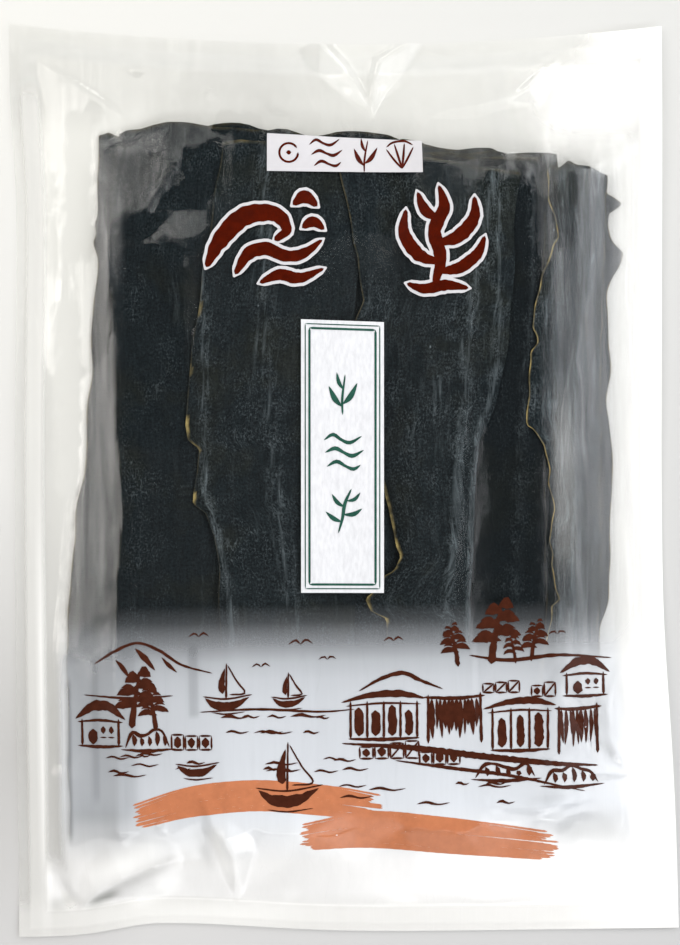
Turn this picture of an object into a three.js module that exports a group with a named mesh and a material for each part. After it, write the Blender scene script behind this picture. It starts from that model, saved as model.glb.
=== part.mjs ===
// A clear sealed bag of dried kelp blades, lying on its back with its front up, in millimetres.
// +X is the bag's right, +Y runs to its top edge and +Z is up. The origin is under its middle, on the table.
// The bag and the kelp that fills it are one closed body: film stretched over a stack of blades, with a
// welded margin all round. The paper label on its front is a body of its own.
import * as THREE from "three";

// ---- The bag ----
const bagWidth = 301; // at its bottom corners
const bagLength = 417; // on its left side
const taper = 0.003; // each side leans in by this share of the way up
const topSag = 9; // how far the top edge dips between its corners
const topSkew = 0.019; // the top edge drops to the right by this share of the way
const welds = { left: 13, right: 10, bottom: 11.5, top: 14 }; // widths of the welded margins
const weldThickness = 0.8;
const weldHeight = 2.4; // of the margin's underside over the table
const weldWave = { rise: 1.1, across: 31, along: 47, ripple: 23 }; // the margin's waves and their spacings
const undersideRun = 20; // the lower film comes down to the table over this length inside the weld

// The filling pulls the bag's edges in: how deep and where, and how far that spreads to each side.
const leftWaist = { depth: 2.4, at: 124, before: 100, after: 36 };
const rightWaist = { depth: 4.4, at: -51, before: 78, after: 190 };
const bottomNotch = { depth: 5.5, at: -86, before: 26, after: 62 };

// ---- The stack of blades, from the lowest to the highest ----
// Each blade's edges are straight lines: their place at the bag's middle and how far they lean with y.
// reach is how high the blade's upper face stands over the table.
const blades = [
  { left: -119.5, leftLean: 0.07, right: -30, rightLean: 0.02, bottom: -167, top: 159, reach: 6.5 },
  { left: 60, leftLean: 0, right: 123, rightLean: 0.02, bottom: -157, top: 137, reach: 7 },
  { left: -86, leftLean: 0, right: 92, rightLean: 0, bottom: -159, top: 162, reach: 9 },
  { left: -103, leftLean: 0.01, right: -40, rightLean: 0.02, bottom: -162, top: 160, reach: 12.5 },
  { left: 42, leftLean: 0, right: 100, rightLean: 0.01, bottom: -158, top: 151, reach: 13 },
  { left: 91, leftLean: 0.02, right: 110, rightLean: 0.06, bottom: -161, top: 143, reach: 14.5 },
  { left: -63, leftLean: 0.03, right: 22, rightLean: 0, bottom: -165, top: 157, reach: 14.8 },
  { left: 14, leftLean: -0.07, right: 70, rightLean: 0.09, bottom: -163, top: 154, reach: 17 },
];
const edgeSlope = 5; // a blade's edge gives way over this length

// ---- Folds of the film: ridges between two points, as wide and high as given ----
const folds = [
  { from: [15, 165], to: [-5, 198], width: 5, rise: 2.4 },
  { from: [15, 165], to: [36, 198], width: 5, rise: 2.4 },
  { from: [-99, 159], to: [-135, 192], width: 8, rise: 2 },
  { from: [104, 140], to: [98, 186], width: 7, rise: 2 },
  { from: [-124, -193], to: [-72, -172], width: 6, rise: 3.6 },
  { from: [-66, -167], to: [-49, -190], width: 6, rise: 2.4 },
  { from: [108, -151], to: [134, -132], width: 7, rise: 2.2 },
];
const foldEnd = 0.12; // how much of a fold's fading lies past its ends

// ---- The paper label on the front ----
const label = { x: 0.2, y: 8.9, width: 37.8, length: 124.6, lean: THREE.MathUtils.degToRad(-0.85) };
const labelThickness = 0.3;
const labelGap = 0.4; // clear of the film's facets
const labelGrid = { columns: 8, rows: 24 };

// ---- The grid that carries the film ----
const columns = 52;
const rows = 40;
const relaxations = 4000;

const { clamp, lerp, smoothstep } = THREE.MathUtils;

// How far an edge is pulled in at a place along it.
function pulledIn(pull, place) {
  const away = place - pull.at;
  const spread = away < 0 ? pull.before : pull.after;
  return pull.depth * Math.exp(-((away / spread) ** 2));
}

// The bag's four edges: where the top and bottom ones run at x, and the sides at y.
function topEdge(x) {
  const across = (2 * x) / bagWidth;
  return bagLength / 2 - topSkew * (x + bagWidth / 2) - topSag * (1 - across * across);
}

function bottomEdge(x) {
  return -bagLength / 2 + pulledIn(bottomNotch, x);
}

function leftEdge(y) {
  return -bagWidth / 2 + taper * (y + bagLength / 2) + pulledIn(leftWaist, y);
}

function rightEdge(y) {
  return bagWidth / 2 - taper * (y + bagLength / 2) - pulledIn(rightWaist, y);
}

// How much of a blade's height is left at a signed distance inside its edge.
function inside(distance) {
  return smoothstep(distance, -edgeSlope, 0);
}

// The height over the table of the stack's upper side, 0 where there is no kelp.
function stackHeight(x, y) {
  return Math.max(
    ...blades.map((blade) => {
      const left = blade.left + blade.leftLean * y;
      const right = blade.right + blade.rightLean * y;
      const cover =
        inside(x - left) * inside(right - x) * inside(blade.top - y) * inside(y - blade.bottom);
      return blade.reach * cover;
    }),
  );
}

// The underside of the welded margin, which waves a little all round the bag.
function marginHeight(x, y) {
  const swell = Math.sin(x / weldWave.across) * Math.cos(y / weldWave.along);
  return weldHeight + weldWave.rise * (swell + Math.sin(y / weldWave.ripple) / 2);
}

// A rounded ridge along the line from one point to the other, fading out at both ends.
function foldRise(fold, x, y) {
  const [fromX, fromY] = fold.from;
  const alongX = fold.to[0] - fromX;
  const alongY = fold.to[1] - fromY;
  const lengthSquared = alongX * alongX + alongY * alongY;
  const share = clamp(((x - fromX) * alongX + (y - fromY) * alongY) / lengthSquared, 0, 1);
  const away = Math.hypot(x - fromX - share * alongX, y - fromY - share * alongY);
  const fade = Math.sin(Math.PI * lerp(foldEnd, 1 - foldEnd, share));
  return fold.rise * fade * Math.exp(-((away / fold.width) ** 2));
}

// How far a point lies inside the weld, less than 0 on the welded margin itself.
function distanceFromWeld(x, y) {
  return Math.min(
    x - leftEdge(y) - welds.left,
    rightEdge(y) - welds.right - x,
    y - bottomEdge(x) - welds.bottom,
    topEdge(x) - welds.top - y,
  );
}

// The film's grid: where each point lies, and how high the upper film stands there before it is taut.
function filmGrid() {
  const points = [];
  for (let row = 0; row <= rows; row++) {
    for (let column = 0; column <= columns; column++) {
      const evenX = bagWidth * (column / columns - 0.5);
      const evenY = bagLength * (row / rows - 0.5);
      const x = lerp(leftEdge(evenY), rightEdge(evenY), column / columns);
      const y = lerp(bottomEdge(evenX), topEdge(evenX), row / rows);
      const welded = distanceFromWeld(x, y) < 0;
      const margin = marginHeight(x, y);
      const floor = (welded ? margin : stackHeight(x, y)) + weldThickness;
      points.push({ x, y, welded, margin, floor, height: Math.max(floor, margin + weldThickness) });
    }
  }
  return points;
}

const grid = filmGrid();
const at = (column, row) => grid[row * (columns + 1) + column];

// Taut film lies on the stack or spans the gaps between what holds it up.
function tighten() {
  const acrossWeight = 1 / (bagWidth / columns) ** 2;
  const alongWeight = 1 / (bagLength / rows) ** 2;
  for (let pass = 0; pass < relaxations; pass++) {
    for (let row = 1; row < rows; row++) {
      for (let column = 1; column < columns; column++) {
        const point = at(column, row);
        if (point.welded) continue;
        const across = at(column - 1, row).height + at(column + 1, row).height;
        const along = at(column, row - 1).height + at(column, row + 1).height;
        const spanned =
          (across * acrossWeight + along * alongWeight) / (2 * (acrossWeight + alongWeight));
        point.height = Math.max(point.floor, spanned);
      }
    }
  }
}

tighten();
for (const point of grid) {
  const rise = folds.reduce((sum, fold) => sum + foldRise(fold, point.x, point.y), 0);
  point.height += rise;
  if (point.welded) point.margin += rise;
}

// The upper film's height anywhere on the bag, between the points of the grid.
function filmHeight(x, y) {
  const column = ((x - leftEdge(y)) / (rightEdge(y) - leftEdge(y))) * columns;
  const row = ((y - bottomEdge(x)) / (topEdge(x) - bottomEdge(x))) * rows;
  const [c, r] = [Math.floor(column), Math.floor(row)];
  const near = lerp(at(c, r).height, at(c + 1, r).height, column - c);
  const far = lerp(at(c, r + 1).height, at(c + 1, r + 1).height, column - c);
  return lerp(near, far, row - r);
}

// The lower film lies flat on the table under the kelp and rises to the weld outside it.
function underside(point) {
  if (point.welded) return point.margin;
  return point.margin * (1 - smoothstep(distanceFromWeld(point.x, point.y), 0, undersideRun));
}

// A box split into a grid, whose upper and lower faces take the shapes of the two films.
function bagGeometry() {
  const geometry = new THREE.BoxGeometry(bagWidth, bagLength, 1, columns, rows, 1);
  const position = geometry.getAttribute("position");
  for (let i = 0; i < position.count; i++) {
    const column = Math.round((position.getX(i) / bagWidth + 0.5) * columns);
    const row = Math.round((position.getY(i) / bagLength + 0.5) * rows);
    const point = at(column, row);
    const height = position.getZ(i) > 0 ? point.height : underside(point);
    position.setXYZ(i, point.x, point.y, height);
  }
  return geometry;
}

// A thin slip of paper that follows the film under it.
function labelGeometry() {
  const { columns: across, rows: along } = labelGrid;
  const geometry = new THREE.BoxGeometry(label.width, label.length, labelThickness, across, along, 1);
  geometry.rotateZ(label.lean);
  geometry.translate(label.x, label.y, labelGap + labelThickness / 2);
  const position = geometry.getAttribute("position");
  for (let i = 0; i < position.count; i++) {
    position.setZ(i, position.getZ(i) + filmHeight(position.getX(i), position.getY(i)));
  }
  return geometry;
}

const filmMaterial = new THREE.MeshStandardMaterial({ color: 0xb9bfc0, roughness: 0.25, metalness: 0 });
const paperMaterial = new THREE.MeshStandardMaterial({ color: 0xeceaf0, roughness: 0.8, metalness: 0 });

function piece(name, geometry, material) {
  const mesh = new THREE.Mesh(geometry, material);
  mesh.name = name;
  return mesh;
}

const kelpBag = new THREE.Group();
kelpBag.name = "kelp_bag";
kelpBag.add(piece("bag", bagGeometry(), filmMaterial));
kelpBag.add(piece("front_label", labelGeometry(), paperMaterial));

export default kelpBag;
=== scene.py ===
"""Dresses the bag of dried kelp: blades, film, label and print, then its floor, lights and camera."""

import math

import bpy
import numpy as np
from bpy.props import FloatProperty, FloatVectorProperty, IntProperty, PointerProperty
from bpy.types import Operator, Panel, PropertyGroup
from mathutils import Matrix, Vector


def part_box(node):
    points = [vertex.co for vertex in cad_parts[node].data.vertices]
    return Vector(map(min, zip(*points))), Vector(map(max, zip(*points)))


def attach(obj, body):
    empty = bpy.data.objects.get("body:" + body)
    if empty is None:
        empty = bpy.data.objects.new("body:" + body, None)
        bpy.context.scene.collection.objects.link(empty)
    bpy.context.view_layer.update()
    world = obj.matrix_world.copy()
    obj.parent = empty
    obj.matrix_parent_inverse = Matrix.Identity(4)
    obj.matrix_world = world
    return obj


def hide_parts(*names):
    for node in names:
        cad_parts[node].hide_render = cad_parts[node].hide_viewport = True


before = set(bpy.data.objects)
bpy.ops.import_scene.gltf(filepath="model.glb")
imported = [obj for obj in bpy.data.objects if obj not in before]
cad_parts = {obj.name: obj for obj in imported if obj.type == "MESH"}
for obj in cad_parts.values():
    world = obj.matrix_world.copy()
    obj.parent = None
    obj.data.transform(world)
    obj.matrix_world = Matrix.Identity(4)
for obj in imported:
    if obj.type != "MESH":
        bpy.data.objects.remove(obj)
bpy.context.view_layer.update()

bl_info = {
    "name": "Bag of dried kelp",
    "version": (1, 0, 0),
    "blender": (4, 5, 0),
    "location": "3D View > Sidebar > Kelp",
    "description": "Builds a clear welded bag of dried kelp blades with its label and print",
    "category": "Add Mesh",
}

MM = 0.001  # a millimetre in Blender's metres
BODY = "root"

# ---- The bag's outline, in millimetres, as in the solids ----
BAG_LOW, BAG_HIGH = (np.array(corner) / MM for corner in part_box("bag"))
BAG_WIDTH = 301.0
BAG_LENGTH = 417.0
TAPER = 0.003
TOP_SAG = 9.0
TOP_SKEW = 0.019
WELD = {"left": 13.0, "right": 10.0, "bottom": 11.5, "top": 14.0}
LEFT_WAIST = (2.4, 124.0, 100.0, 36.0)  # depth, place, spread before and after it
RIGHT_WAIST = (4.4, -51.0, 78.0, 190.0)
BOTTOM_NOTCH = (5.5, -86.0, 26.0, 62.0)
WELD_HEIGHT = 2.4
WELD_WAVE = 1.1
UNDERSIDE_RUN = 20.0


def pulled_in(pull, place):
    """How far an edge is pulled in at a place along it."""
    depth, at, before, after = pull
    away = place - at
    return depth * np.exp(-((away / np.where(away < 0, before, after)) ** 2))


def top_edge(x):
    """Where the bag's top edge runs at x; the other three edges follow."""
    across = 2 * x / BAG_WIDTH
    return BAG_LENGTH / 2 - TOP_SKEW * (x + BAG_WIDTH / 2) - TOP_SAG * (1 - across * across)


def bottom_edge(x):
    return -BAG_LENGTH / 2 + pulled_in(BOTTOM_NOTCH, x)


def left_edge(y):
    return -BAG_WIDTH / 2 + TAPER * (y + BAG_LENGTH / 2) + pulled_in(LEFT_WAIST, y)


def right_edge(y):
    return BAG_WIDTH / 2 - TAPER * (y + BAG_LENGTH / 2) - pulled_in(RIGHT_WAIST, y)


def from_weld(x, y):
    """How far a point lies inside the weld, less than 0 on the welded margin itself."""
    across = np.minimum(x - left_edge(y) - WELD["left"], right_edge(y) - WELD["right"] - x)
    along = np.minimum(y - bottom_edge(x) - WELD["bottom"], top_edge(x) - WELD["top"] - y)
    return np.minimum(across, along)


def margin_height(x, y):
    """The underside of the welded margin, which waves a little all round the bag."""
    swell = np.sin(x / 31) * np.cos(y / 47)
    return WELD_HEIGHT + WELD_WAVE * (swell + np.sin(y / 23) / 2)


def smoothstep(value, low, high):
    """An even rise from 0 to 1 between two values."""
    share = np.clip((value - low) / (high - low), 0, 1)
    return share * share * (3 - 2 * share)


# ---- Height maps over the bag, one value each millimetre ----
MAP_X = np.arange(-153.0, 154.0)
MAP_Y = np.arange(-211.0, 212.0)
GRID_X, GRID_Y = np.meshgrid(MAP_X, MAP_Y)


def shifted(field, down, across):
    """The map moved by whole steps, its border repeated."""
    padded = np.pad(field, ((abs(down),) * 2, (abs(across),) * 2), mode="edge")
    height, width = field.shape
    row = abs(down) - down
    column = abs(across) - across
    return padded[row : row + height, column : column + width]


def widened(field, reach):
    """Each point takes the highest value within reach."""
    for down, across in ((1, 0), (0, 1)):
        best = field
        for step in range(1, int(reach) + 1):
            best = np.maximum(best, shifted(field, step * down, step * across))
            best = np.maximum(best, shifted(field, -step * down, -step * across))
        field = best
    return field


def softened(field, reach):
    """A blur whose weights end at reach."""
    half = max(1, int(reach) // 2)
    for down, across in ((1, 0), (0, 1), (1, 0), (0, 1)):
        total = field.copy()
        for step in range(1, half + 1):
            total += shifted(field, step * down, step * across)
            total += shifted(field, -step * down, -step * across)
        field = total / (2 * half + 1)
    return field


def between(field, row, column):
    """The field's value between its points."""
    height, width = field.shape
    row = np.clip(row, 0, height - 1.001)
    column = np.clip(column, 0, width - 1.001)
    r, c = row.astype(int), column.astype(int)
    dr, dc = row - r, column - c
    near = field[r, c] * (1 - dc) + field[r, c + 1] * dc
    far = field[r + 1, c] * (1 - dc) + field[r + 1, c + 1] * dc
    return near * (1 - dr) + far * dr


def sampled(field, x, y):
    """The map's value at places in millimetres."""
    return between(field, y - MAP_Y[0], x - MAP_X[0])


def waves(seed, count, shortest, longest):
    """A smooth random curve of unit height: a function of the place along it, in millimetres."""
    rng = np.random.default_rng(seed)
    lengths = rng.uniform(shortest, longest, count)
    phases = rng.uniform(0, 2 * math.pi, count)

    def curve(place):
        total = sum(np.sin(2 * math.pi * place / length + phase) for length, phase in zip(lengths, phases))
        return total / math.sqrt(count)

    return curve


def swells(seed, count, shortest, longest):
    """A smooth random surface of unit height: a function of x and y, in millimetres."""
    rng = np.random.default_rng(seed)
    lengths = rng.uniform(shortest, longest, count)
    angles = rng.uniform(0, math.pi, count)
    phases = rng.uniform(0, 2 * math.pi, count)

    def surface(x, y):
        total = 0
        for length, angle, phase in zip(lengths, angles, phases):
            along = x * math.cos(angle) + y * math.sin(angle)
            total = total + np.sin(2 * math.pi * along / length + phase)
        return total / math.sqrt(count)

    return surface


# ---- The kelp blades, from the lowest to the highest ----
# left and right are (y, x) places that the blade's edges run through, ends its lower and upper end, and top
# (x, y) places along the upper end, all in millimetres. rim says how ochre the left and right edges are, and
# rim_spots where the left one is more so: y, reach and strength. dusty_and_sheen says how pale the blade is
# with bloom, which also stands in for painted sheen on the right blade, and shade how dark it is, which is
# painted shade on the blade deep in the gap at the right. bend says over what length it bends, and ridges
# run along it: (y, x) places, rise and width.
BLADES = [
    dict(name="kelp_2", left=[(-150, -44), (150, -36)], right=[(-150, 22), (150, 28)], ends=(-150, 158),
         top=[(-40, 150), (-18, 154), (0, 157.4), (14, 156.2), (23, 155.4), (28, 153.4)]),
    dict(name="kelp_3", left=[(-150, 30), (150, 34)], right=[(-150, 92), (150, 94)], ends=(-155, 146)),
    dict(name="kelp_5", left=[(-150, 50), (-20, 58), (150, 60)], right=[(-150, 101), (0, 104), (150, 105)],
         ends=(-150, 130)),
    dict(name="kelp_6", left=[(-150, -40), (150, -36)], right=[(-150, 46), (150, 40)], ends=(-162, 155),
         top=[(-36, 146), (20, 151), (30, 153), (38, 151.8), (42, 149.5)]),
    dict(
        name="kelp_left_low",
        left=[(-166, -127), (-100, -127), (-73, -127), (-55, -125.5), (-41, -124.4), (-18, -121.8),
              (13, -116.8), (36, -115.1), (68, -113.2), (86, -111.6), (101, -110.5), (108, -111.8),
              (112, -110.3), (117, -111.3), (120, -110.2), (143, -109.4), (157, -108.7)],
        right=[(-166, -62), (0, -56), (157, -46)], ends=(-166, 157.5), rim=(0.3, 0),
        top=[(-109, 156.6), (-104.2, 158.1), (-99.7, 155.8), (-92, 157), (-46, 157)],
    ),
    dict(
        name="kelp_right_low",
        left=[(-150, 52), (0, 60), (140, 62)],
        right=[(-149, 113.8), (-86, 115.7), (-70, 117.2), (-58, 120.6), (-40, 121.8), (10, 123.4),
               (32, 121.5), (46, 123), (69, 122), (82, 123.1), (89, 125), (95, 128.3), (100, 129.8),
               (104, 125.7), (107, 124), (113, 122.2), (118, 122.8), (120, 127), (122, 130), (125, 127),
               (127, 123.3), (135, 124.4)],
        ends=(-151, 137), rim=(0, 0.35),
        top=[(62, 138), (100, 136), (104.9, 138), (110, 136.6), (114.4, 136.8), (124.3, 132.5)],
    ),
    dict(name="kelp_1", left=[(-150, -102.5), (0, -99.5), (90, -104.5), (150, -98.5)],
         right=[(-150, -52), (150, -44)], ends=(-158, 130)),
    dict(name="kelp_4", left=[(-150, -103), (0, -99), (90, -104), (150, -98)],
         right=[(-150, -38), (150, -30)], ends=(-159, 139)),
    dict(name="kelp_10", left=[(-150, -102), (0, -98.5), (90, -103), (150, -98)],
         right=[(-150, -66), (0, -72), (150, -58)], ends=(-157, 134)),
    dict(name="kelp_7", left=[(-150, -44), (50, -46), (85, -66), (120, -72), (150, -73)],
         right=[(-150, 12), (150, 10)], ends=(-150, 161.5),
         top=[(-74, 150), (-66, 157), (-58, 161), (-50, 162), (-42, 161.2), (-33, 157), (-25, 158.4),
              (-14, 155), (0, 151), (10, 148)]),
    dict(name="kelp_8", left=[(-150, -46), (150, -40)], right=[(-150, 64), (150, 75)], ends=(-158, 148),
         top=[(10, 149), (38, 150.8), (46, 148.9), (55, 147.4), (64, 148.2), (71, 148), (76, 145)]),
    dict(name="kelp_9", left=[(-150, 45), (150, 34)],
         right=[(-150, 95), (128, 97), (138, 100), (150, 98.6)], ends=(-154, 145),
         top=[(34, 146), (72, 145.6), (82.6, 143.9), (91, 143), (93.8, 145.4), (99, 144.6)]),
    dict(
        name="kelp_left",
        left=[(-160, -104.5), (-62, -104), (-50, -103), (-23, -101.5), (2, -100.7), (24, -103.1),
              (49, -102.8), (67, -103.5), (81, -104.6), (90, -106), (108, -105), (119, -103.9),
              (131, -102.4), (142, -100.9), (155, -99.3)],
        right=[(-160, -30), (155, -26)], ends=(-160, 158.5), rim=(0.05, 0), dusty_and_sheen=0.03, shade=0.2,
        top=[(-99, 157), (-96, 158.6), (-89.3, 159.2), (-84.7, 160.9), (-77.9, 162.2), (-68, 161.4),
             (-55, 159), (-36, 157)],
    ),
    dict(name="kelp_11", left=[(-150, 91), (60, 92), (150, 94)],
         right=[(-150, 98), (20, 100), (70, 103), (150, 105)], ends=(-152, 133)),
    dict(
        name="kelp_right_dark",
        left=[(-158, 34), (140, 42)],
        right=[(-158, 90), (0, 91), (140, 93)], ends=(-156, 146), rim=(0, 0), shade=0.6,
        top=[(42, 146), (60, 143), (75, 143.5), (93, 141)],
        ridges=[([(-60, 76), (-39, 77.6), (-17, 79.7), (30, 83), (100, 88)], 1.2, 2.2)],
    ),
    dict(
        name="kelp_right",
        left=[(-158, 86), (-103, 87.9), (-76, 90.1), (-67, 92.9), (-60.4, 93), (-57.8, 97.6), (-53, 96.3),
              (-42, 94.7), (-37, 95.6), (-31, 93), (-17, 95), (-5, 93), (1, 93.9), (12.4, 92.3),
              (20.2, 86.5), (21.1, 83.8), (31, 84), (46, 84.7), (54.6, 85.7), (58.6, 89.8), (62.2, 89.4),
              (65.4, 87.2), (78, 89.2), (89, 91.2), (94, 93.5), (103, 96.4), (106.4, 99.6), (116.4, 97.9),
              (123, 95.8), (136, 95)],
        right=[(-158, 111), (-40, 117), (30, 118), (80, 119.5), (138, 123)], ends=(-157, 139.5),
        rim=(0.85, 0.2), bend=7, dusty_and_sheen=0.75,
        top=[(94, 136), (97, 139), (99, 137.6), (101, 137.9), (104.9, 141.5), (109, 139.4), (114.4, 138.6),
             (124.3, 134.4)],
        ridges=[([(-67, 104.2), (-40, 102.4), (-4, 105.1), (33, 104.3), (55, 106.9), (82, 112.3),
                  (96, 115.2), (109, 118.1)], 0.45, 0.8)],
    ),
    dict(
        name="kelp_middle",
        left=[(-160, -55.2), (-101, -55.9), (-64, -56.3), (-42, -56.4), (-26, -58.4), (-16, -62.3),
              (-12, -68.2), (-6, -67.6), (3, -65.2), (12.9, -64.2), (17, -70), (24, -71.2), (35, -69.7),
              (49, -68.2), (60, -67.1), (71, -64.7), (85, -62.7), (101, -60.6), (123, -56.2),
              (141, -53.2), (152, -52.2)],
        right=[(-160, 8), (0, 2), (152, 12)], ends=(-162, 152), rim=(0.06, 0), ends_rim=0.2, dusty_and_sheen=0.1,
        rim_spots=[(76, 4, 0.3), (48, 2.5, 0.6), (23, 5, 0.8), (14.5, 3, 0.5), (-9, 3, 0.7)],
        top=[(-52.2, 151.6), (-44, 152.6), (-32.7, 151.7), (-10, 151), (12, 149)],
        ridges=[([(-60, -25), (-30, -27), (10, -31), (60, -34)], 0.7, 3.0),
                ([(-90, -50), (-60, -51.5), (-35, -54), (-20, -58), (-8, -62)], 0.6, 2.2)],
    ),
    dict(
        name="kelp_front",
        left=[(-160, 21), (-102, 20), (-65, 18.3), (-62, 11.5), (-56, 9.4), (-53.7, 12.6), (-46, 18.1),
              (-43.5, 23.6), (-37, 26.4), (-33, 24.2), (-20, 21.2), (-6, 18.7), (16, 13.6), (61, 4.3),
              (71, 6.7), (79, 10.9), (99, 8.5), (106, 5.9), (126, 3.5), (137, 1.4), (143, 1)],
        right=[(-160, 60), (-57, 57), (-21, 59.2), (1.6, 60.4), (15, 62.4), (24, 67.1), (31, 69.9),
               (42, 71.9), (60, 76.7), (78, 77.8), (101, 79.1), (137, 82.3)],
        ends=(-161, 142), rim=(0.12, 0), dusty_and_sheen=0.25,
        rim_spots=[(-15, 16, 0.8), (-34, 7, 1.0), (-47, 6, 0.9), (-58, 5, 1.0), (-66, 3, 0.8)],
        top=[(1, 143), (20, 144.4), (39, 143.6), (50, 141), (61.9, 138.6), (72, 137.6), (82.2, 135.6)],
        ridges=[([(-61, 46.3), (-48, 47.8), (-21, 51.4), (2, 51.7), (15, 53.3), (33, 55.4), (60, 57.6),
                  (83, 59.7), (110, 65.5), (123, 67.5), (137, 69.5)], 1.5, 2.6),
                ([(-70, 55.5), (-30, 57.5), (0, 59), (16, 61), (32, 67), (55, 72)], 0.8, 1.8)],
    ),
]
BLADE_BEND = 9.0  # a blade bends no tighter than over this length
BLADE_AIR = 0.45  # the usual air between two blades
LEAST_AIR = 0.15
BLADE_WAVE = 0.35  # how much a blade waves by itself
TOP_RAGGED, BOTTOM_RAGGED = 0.35, 1.5  # how uneven a blade's ends are
LEFT_FRILL, RIGHT_FRILL = 0.5, 0.6  # how uneven its edges are
EDGE_TAPER = 5.0  # a blade thins out over this length
EDGE_THICKNESS = 0.3  # of the thickness at its middle
SIDE_RIM, END_RIM = (0.1, 0.55), (0.2, 1.2)  # from and to where the ochre rim fades
END_OF_RIDGE = (-30, 10)  # a ridge rises between these places about its lowest point
PATTERN_SHIFT = (0.37, 0.21)  # metres by which each blade's pattern is moved on
TABLE_CLEARANCE = 0.5  # of the lowest blade over the table
FILM_CLEARANCE = 0.4
FILM_SOFTNESS = 3  # over how many millimetres the film's bends are rounded
PRINT_LIFT = 0.12  # of the ink over the film
SECOND_INK = 0.1  # of ink that lies on other ink, over the first
INK_THICKNESS = 0.04

stack = {}  # what the blades' operator leaves for the film's: the height of the stack's upper side


def line_through(points, smooth=2.0):
    """A curve x(y) through places given as (y, x), a little rounded at each of them."""
    ys, xs = np.array(sorted(points), dtype=float).T
    fine = np.arange(-215.0, 215.5, 0.5)
    values = np.interp(fine, ys, xs)
    half = int(smooth)
    kernel = np.hanning(2 * half + 3)[1:-1]
    padded = np.pad(values, half, mode="edge")
    values = np.convolve(padded, kernel / kernel.sum(), mode="valid")
    return lambda y: np.interp(y, fine, values)


def select_only(piece):
    """Selects the piece alone, and makes it the active one."""
    bpy.ops.object.select_all(action="DESELECT")
    piece.select_set(True)
    bpy.context.view_layer.objects.active = piece


def add_grid(name, columns, rows):
    """A flat unit grid, added with nothing else selected."""
    bpy.ops.object.select_all(action="DESELECT")
    bpy.ops.mesh.primitive_grid_add(x_subdivisions=columns, y_subdivisions=rows, size=1)
    piece = bpy.context.object
    piece.name = piece.data.name = name
    return piece


def corners(piece):
    """The mesh's vertices as an array."""
    found = np.empty(len(piece.data.vertices) * 3)
    piece.data.vertices.foreach_get("co", found)
    return found.reshape(-1, 3)


def put_corners(piece, x, y, z):
    """Moves the vertices to places in millimetres."""
    piece.data.vertices.foreach_set("co", np.column_stack((x, y, z)).ravel() * MM)
    piece.data.update()


def give_attribute(piece, name, values):
    layer = piece.data.attributes.new(name, "FLOAT", "POINT")
    layer.data.foreach_set("value", np.asarray(values, dtype=np.float32))


def apply_modifiers(piece):
    select_only(piece)
    for modifier in list(piece.modifiers):
        bpy.ops.object.modifier_apply(modifier=modifier.name)


def finish_piece(piece, material):
    """Smooths the piece, gives it its material and fixes it to the bag."""
    select_only(piece)
    bpy.ops.object.shade_smooth_by_angle(angle=math.radians(60))
    piece.data.materials.clear()
    piece.data.materials.append(material)
    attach(piece, BODY)


class KelpBlade:
    """One blade's outline, and the height of its underside over the stack below it."""

    def __init__(self, number, spec, below):
        self.number = number
        self.spec = spec
        self.left = line_through(spec["left"])
        self.right = line_through(spec["right"])
        self.bottom, self.top = spec["ends"]
        self.top_x, self.top_y = np.array(spec.get("top", [(0, self.top)]), dtype=float).T
        self.end_wave = waves(100 + number, 3, 18, 50)
        self.side_wave = waves(200 + number, 4, 14, 60)
        self.field = self.lay(below)

    def top_at(self, u):
        """The blade's upper end at a share of its width."""
        left, right = self.left(self.top), self.right(self.top)
        x = left + (right - left) * u
        return np.interp(x, self.top_x, self.top_y) + TOP_RAGGED * self.end_wave(u * 65)

    def bottom_at(self, u):
        return self.bottom + BOTTOM_RAGGED * self.end_wave(u * 65 + 300)

    def cover(self, slack=0.0):
        """Where the blade lies on the maps."""
        width = np.maximum(self.right(GRID_Y) - self.left(GRID_Y), 1)
        u = np.clip((GRID_X - self.left(GRID_Y)) / width, 0, 1)
        inside = (GRID_X > self.left(GRID_Y) - slack) & (GRID_X < self.right(GRID_Y) + slack)
        return inside & (GRID_Y < self.top_at(u) + slack) & (GRID_Y > self.bottom_at(u) - slack)

    def dust_and_sheen(self, x, y):
        """Where pale bloom gathers, which also stands in for painted sheen: along the blade's ridges, and
        all over a blade that is given it.
        """
        total = np.full_like(x, self.spec.get("dusty_and_sheen", 0.0))
        for _, ridge in self.ridges(x, y):
            total += ridge
        return np.clip(total, 0, 1)

    def ridges(self, x, y):
        """Each ridge's rise, and its share of it at a place."""
        for line, rise, width in self.spec.get("ridges", []):
            away = x - line_through(line, 6)(y)
            start, end = (line[0][0] + place for place in END_OF_RIDGE)
            yield rise, np.exp(-((away / width) ** 2)) * smoothstep(y, start, end)

    def lay(self, below):
        """The blade bends over what lies below it, with its own waves and ridges."""
        held = np.where(self.cover(1.5), below, 0)
        bend = self.spec.get("bend", BLADE_BEND)
        field = softened(widened(held, bend), bend)
        waviness = swells(300 + self.number, 5, 30, 110)(GRID_X, GRID_Y / 3)
        field = field + BLADE_AIR + BLADE_WAVE * (waviness + 1)
        for rise, ridge in self.ridges(GRID_X, GRID_Y):
            field = field + rise * ridge
        return np.maximum(field, below + LEAST_AIR)


def blade_rim(spec, y, from_left, from_right, from_end):
    """How ochre a blade is at each place: thin lines along its edges, and spots on its left one."""
    left, right = spec.get("rim", (0.1, 0.1))
    rim = left * (1 - smoothstep(from_left, *SIDE_RIM))
    rim = np.maximum(rim, right * (1 - smoothstep(from_right, *SIDE_RIM)))
    rim = np.maximum(rim, spec.get("ends_rim", 0.1) * (1 - smoothstep(from_end, *END_RIM)))
    for place, reach, strength in spec.get("rim_spots", []):
        spot = np.clip(1 - ((y - place) / reach) ** 2, 0, 1)
        rim = np.maximum(rim, strength * np.sqrt(spot) * (1 - smoothstep(from_left, 0.5, 0.7 + 1.2 * spot)))
    return rim


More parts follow.
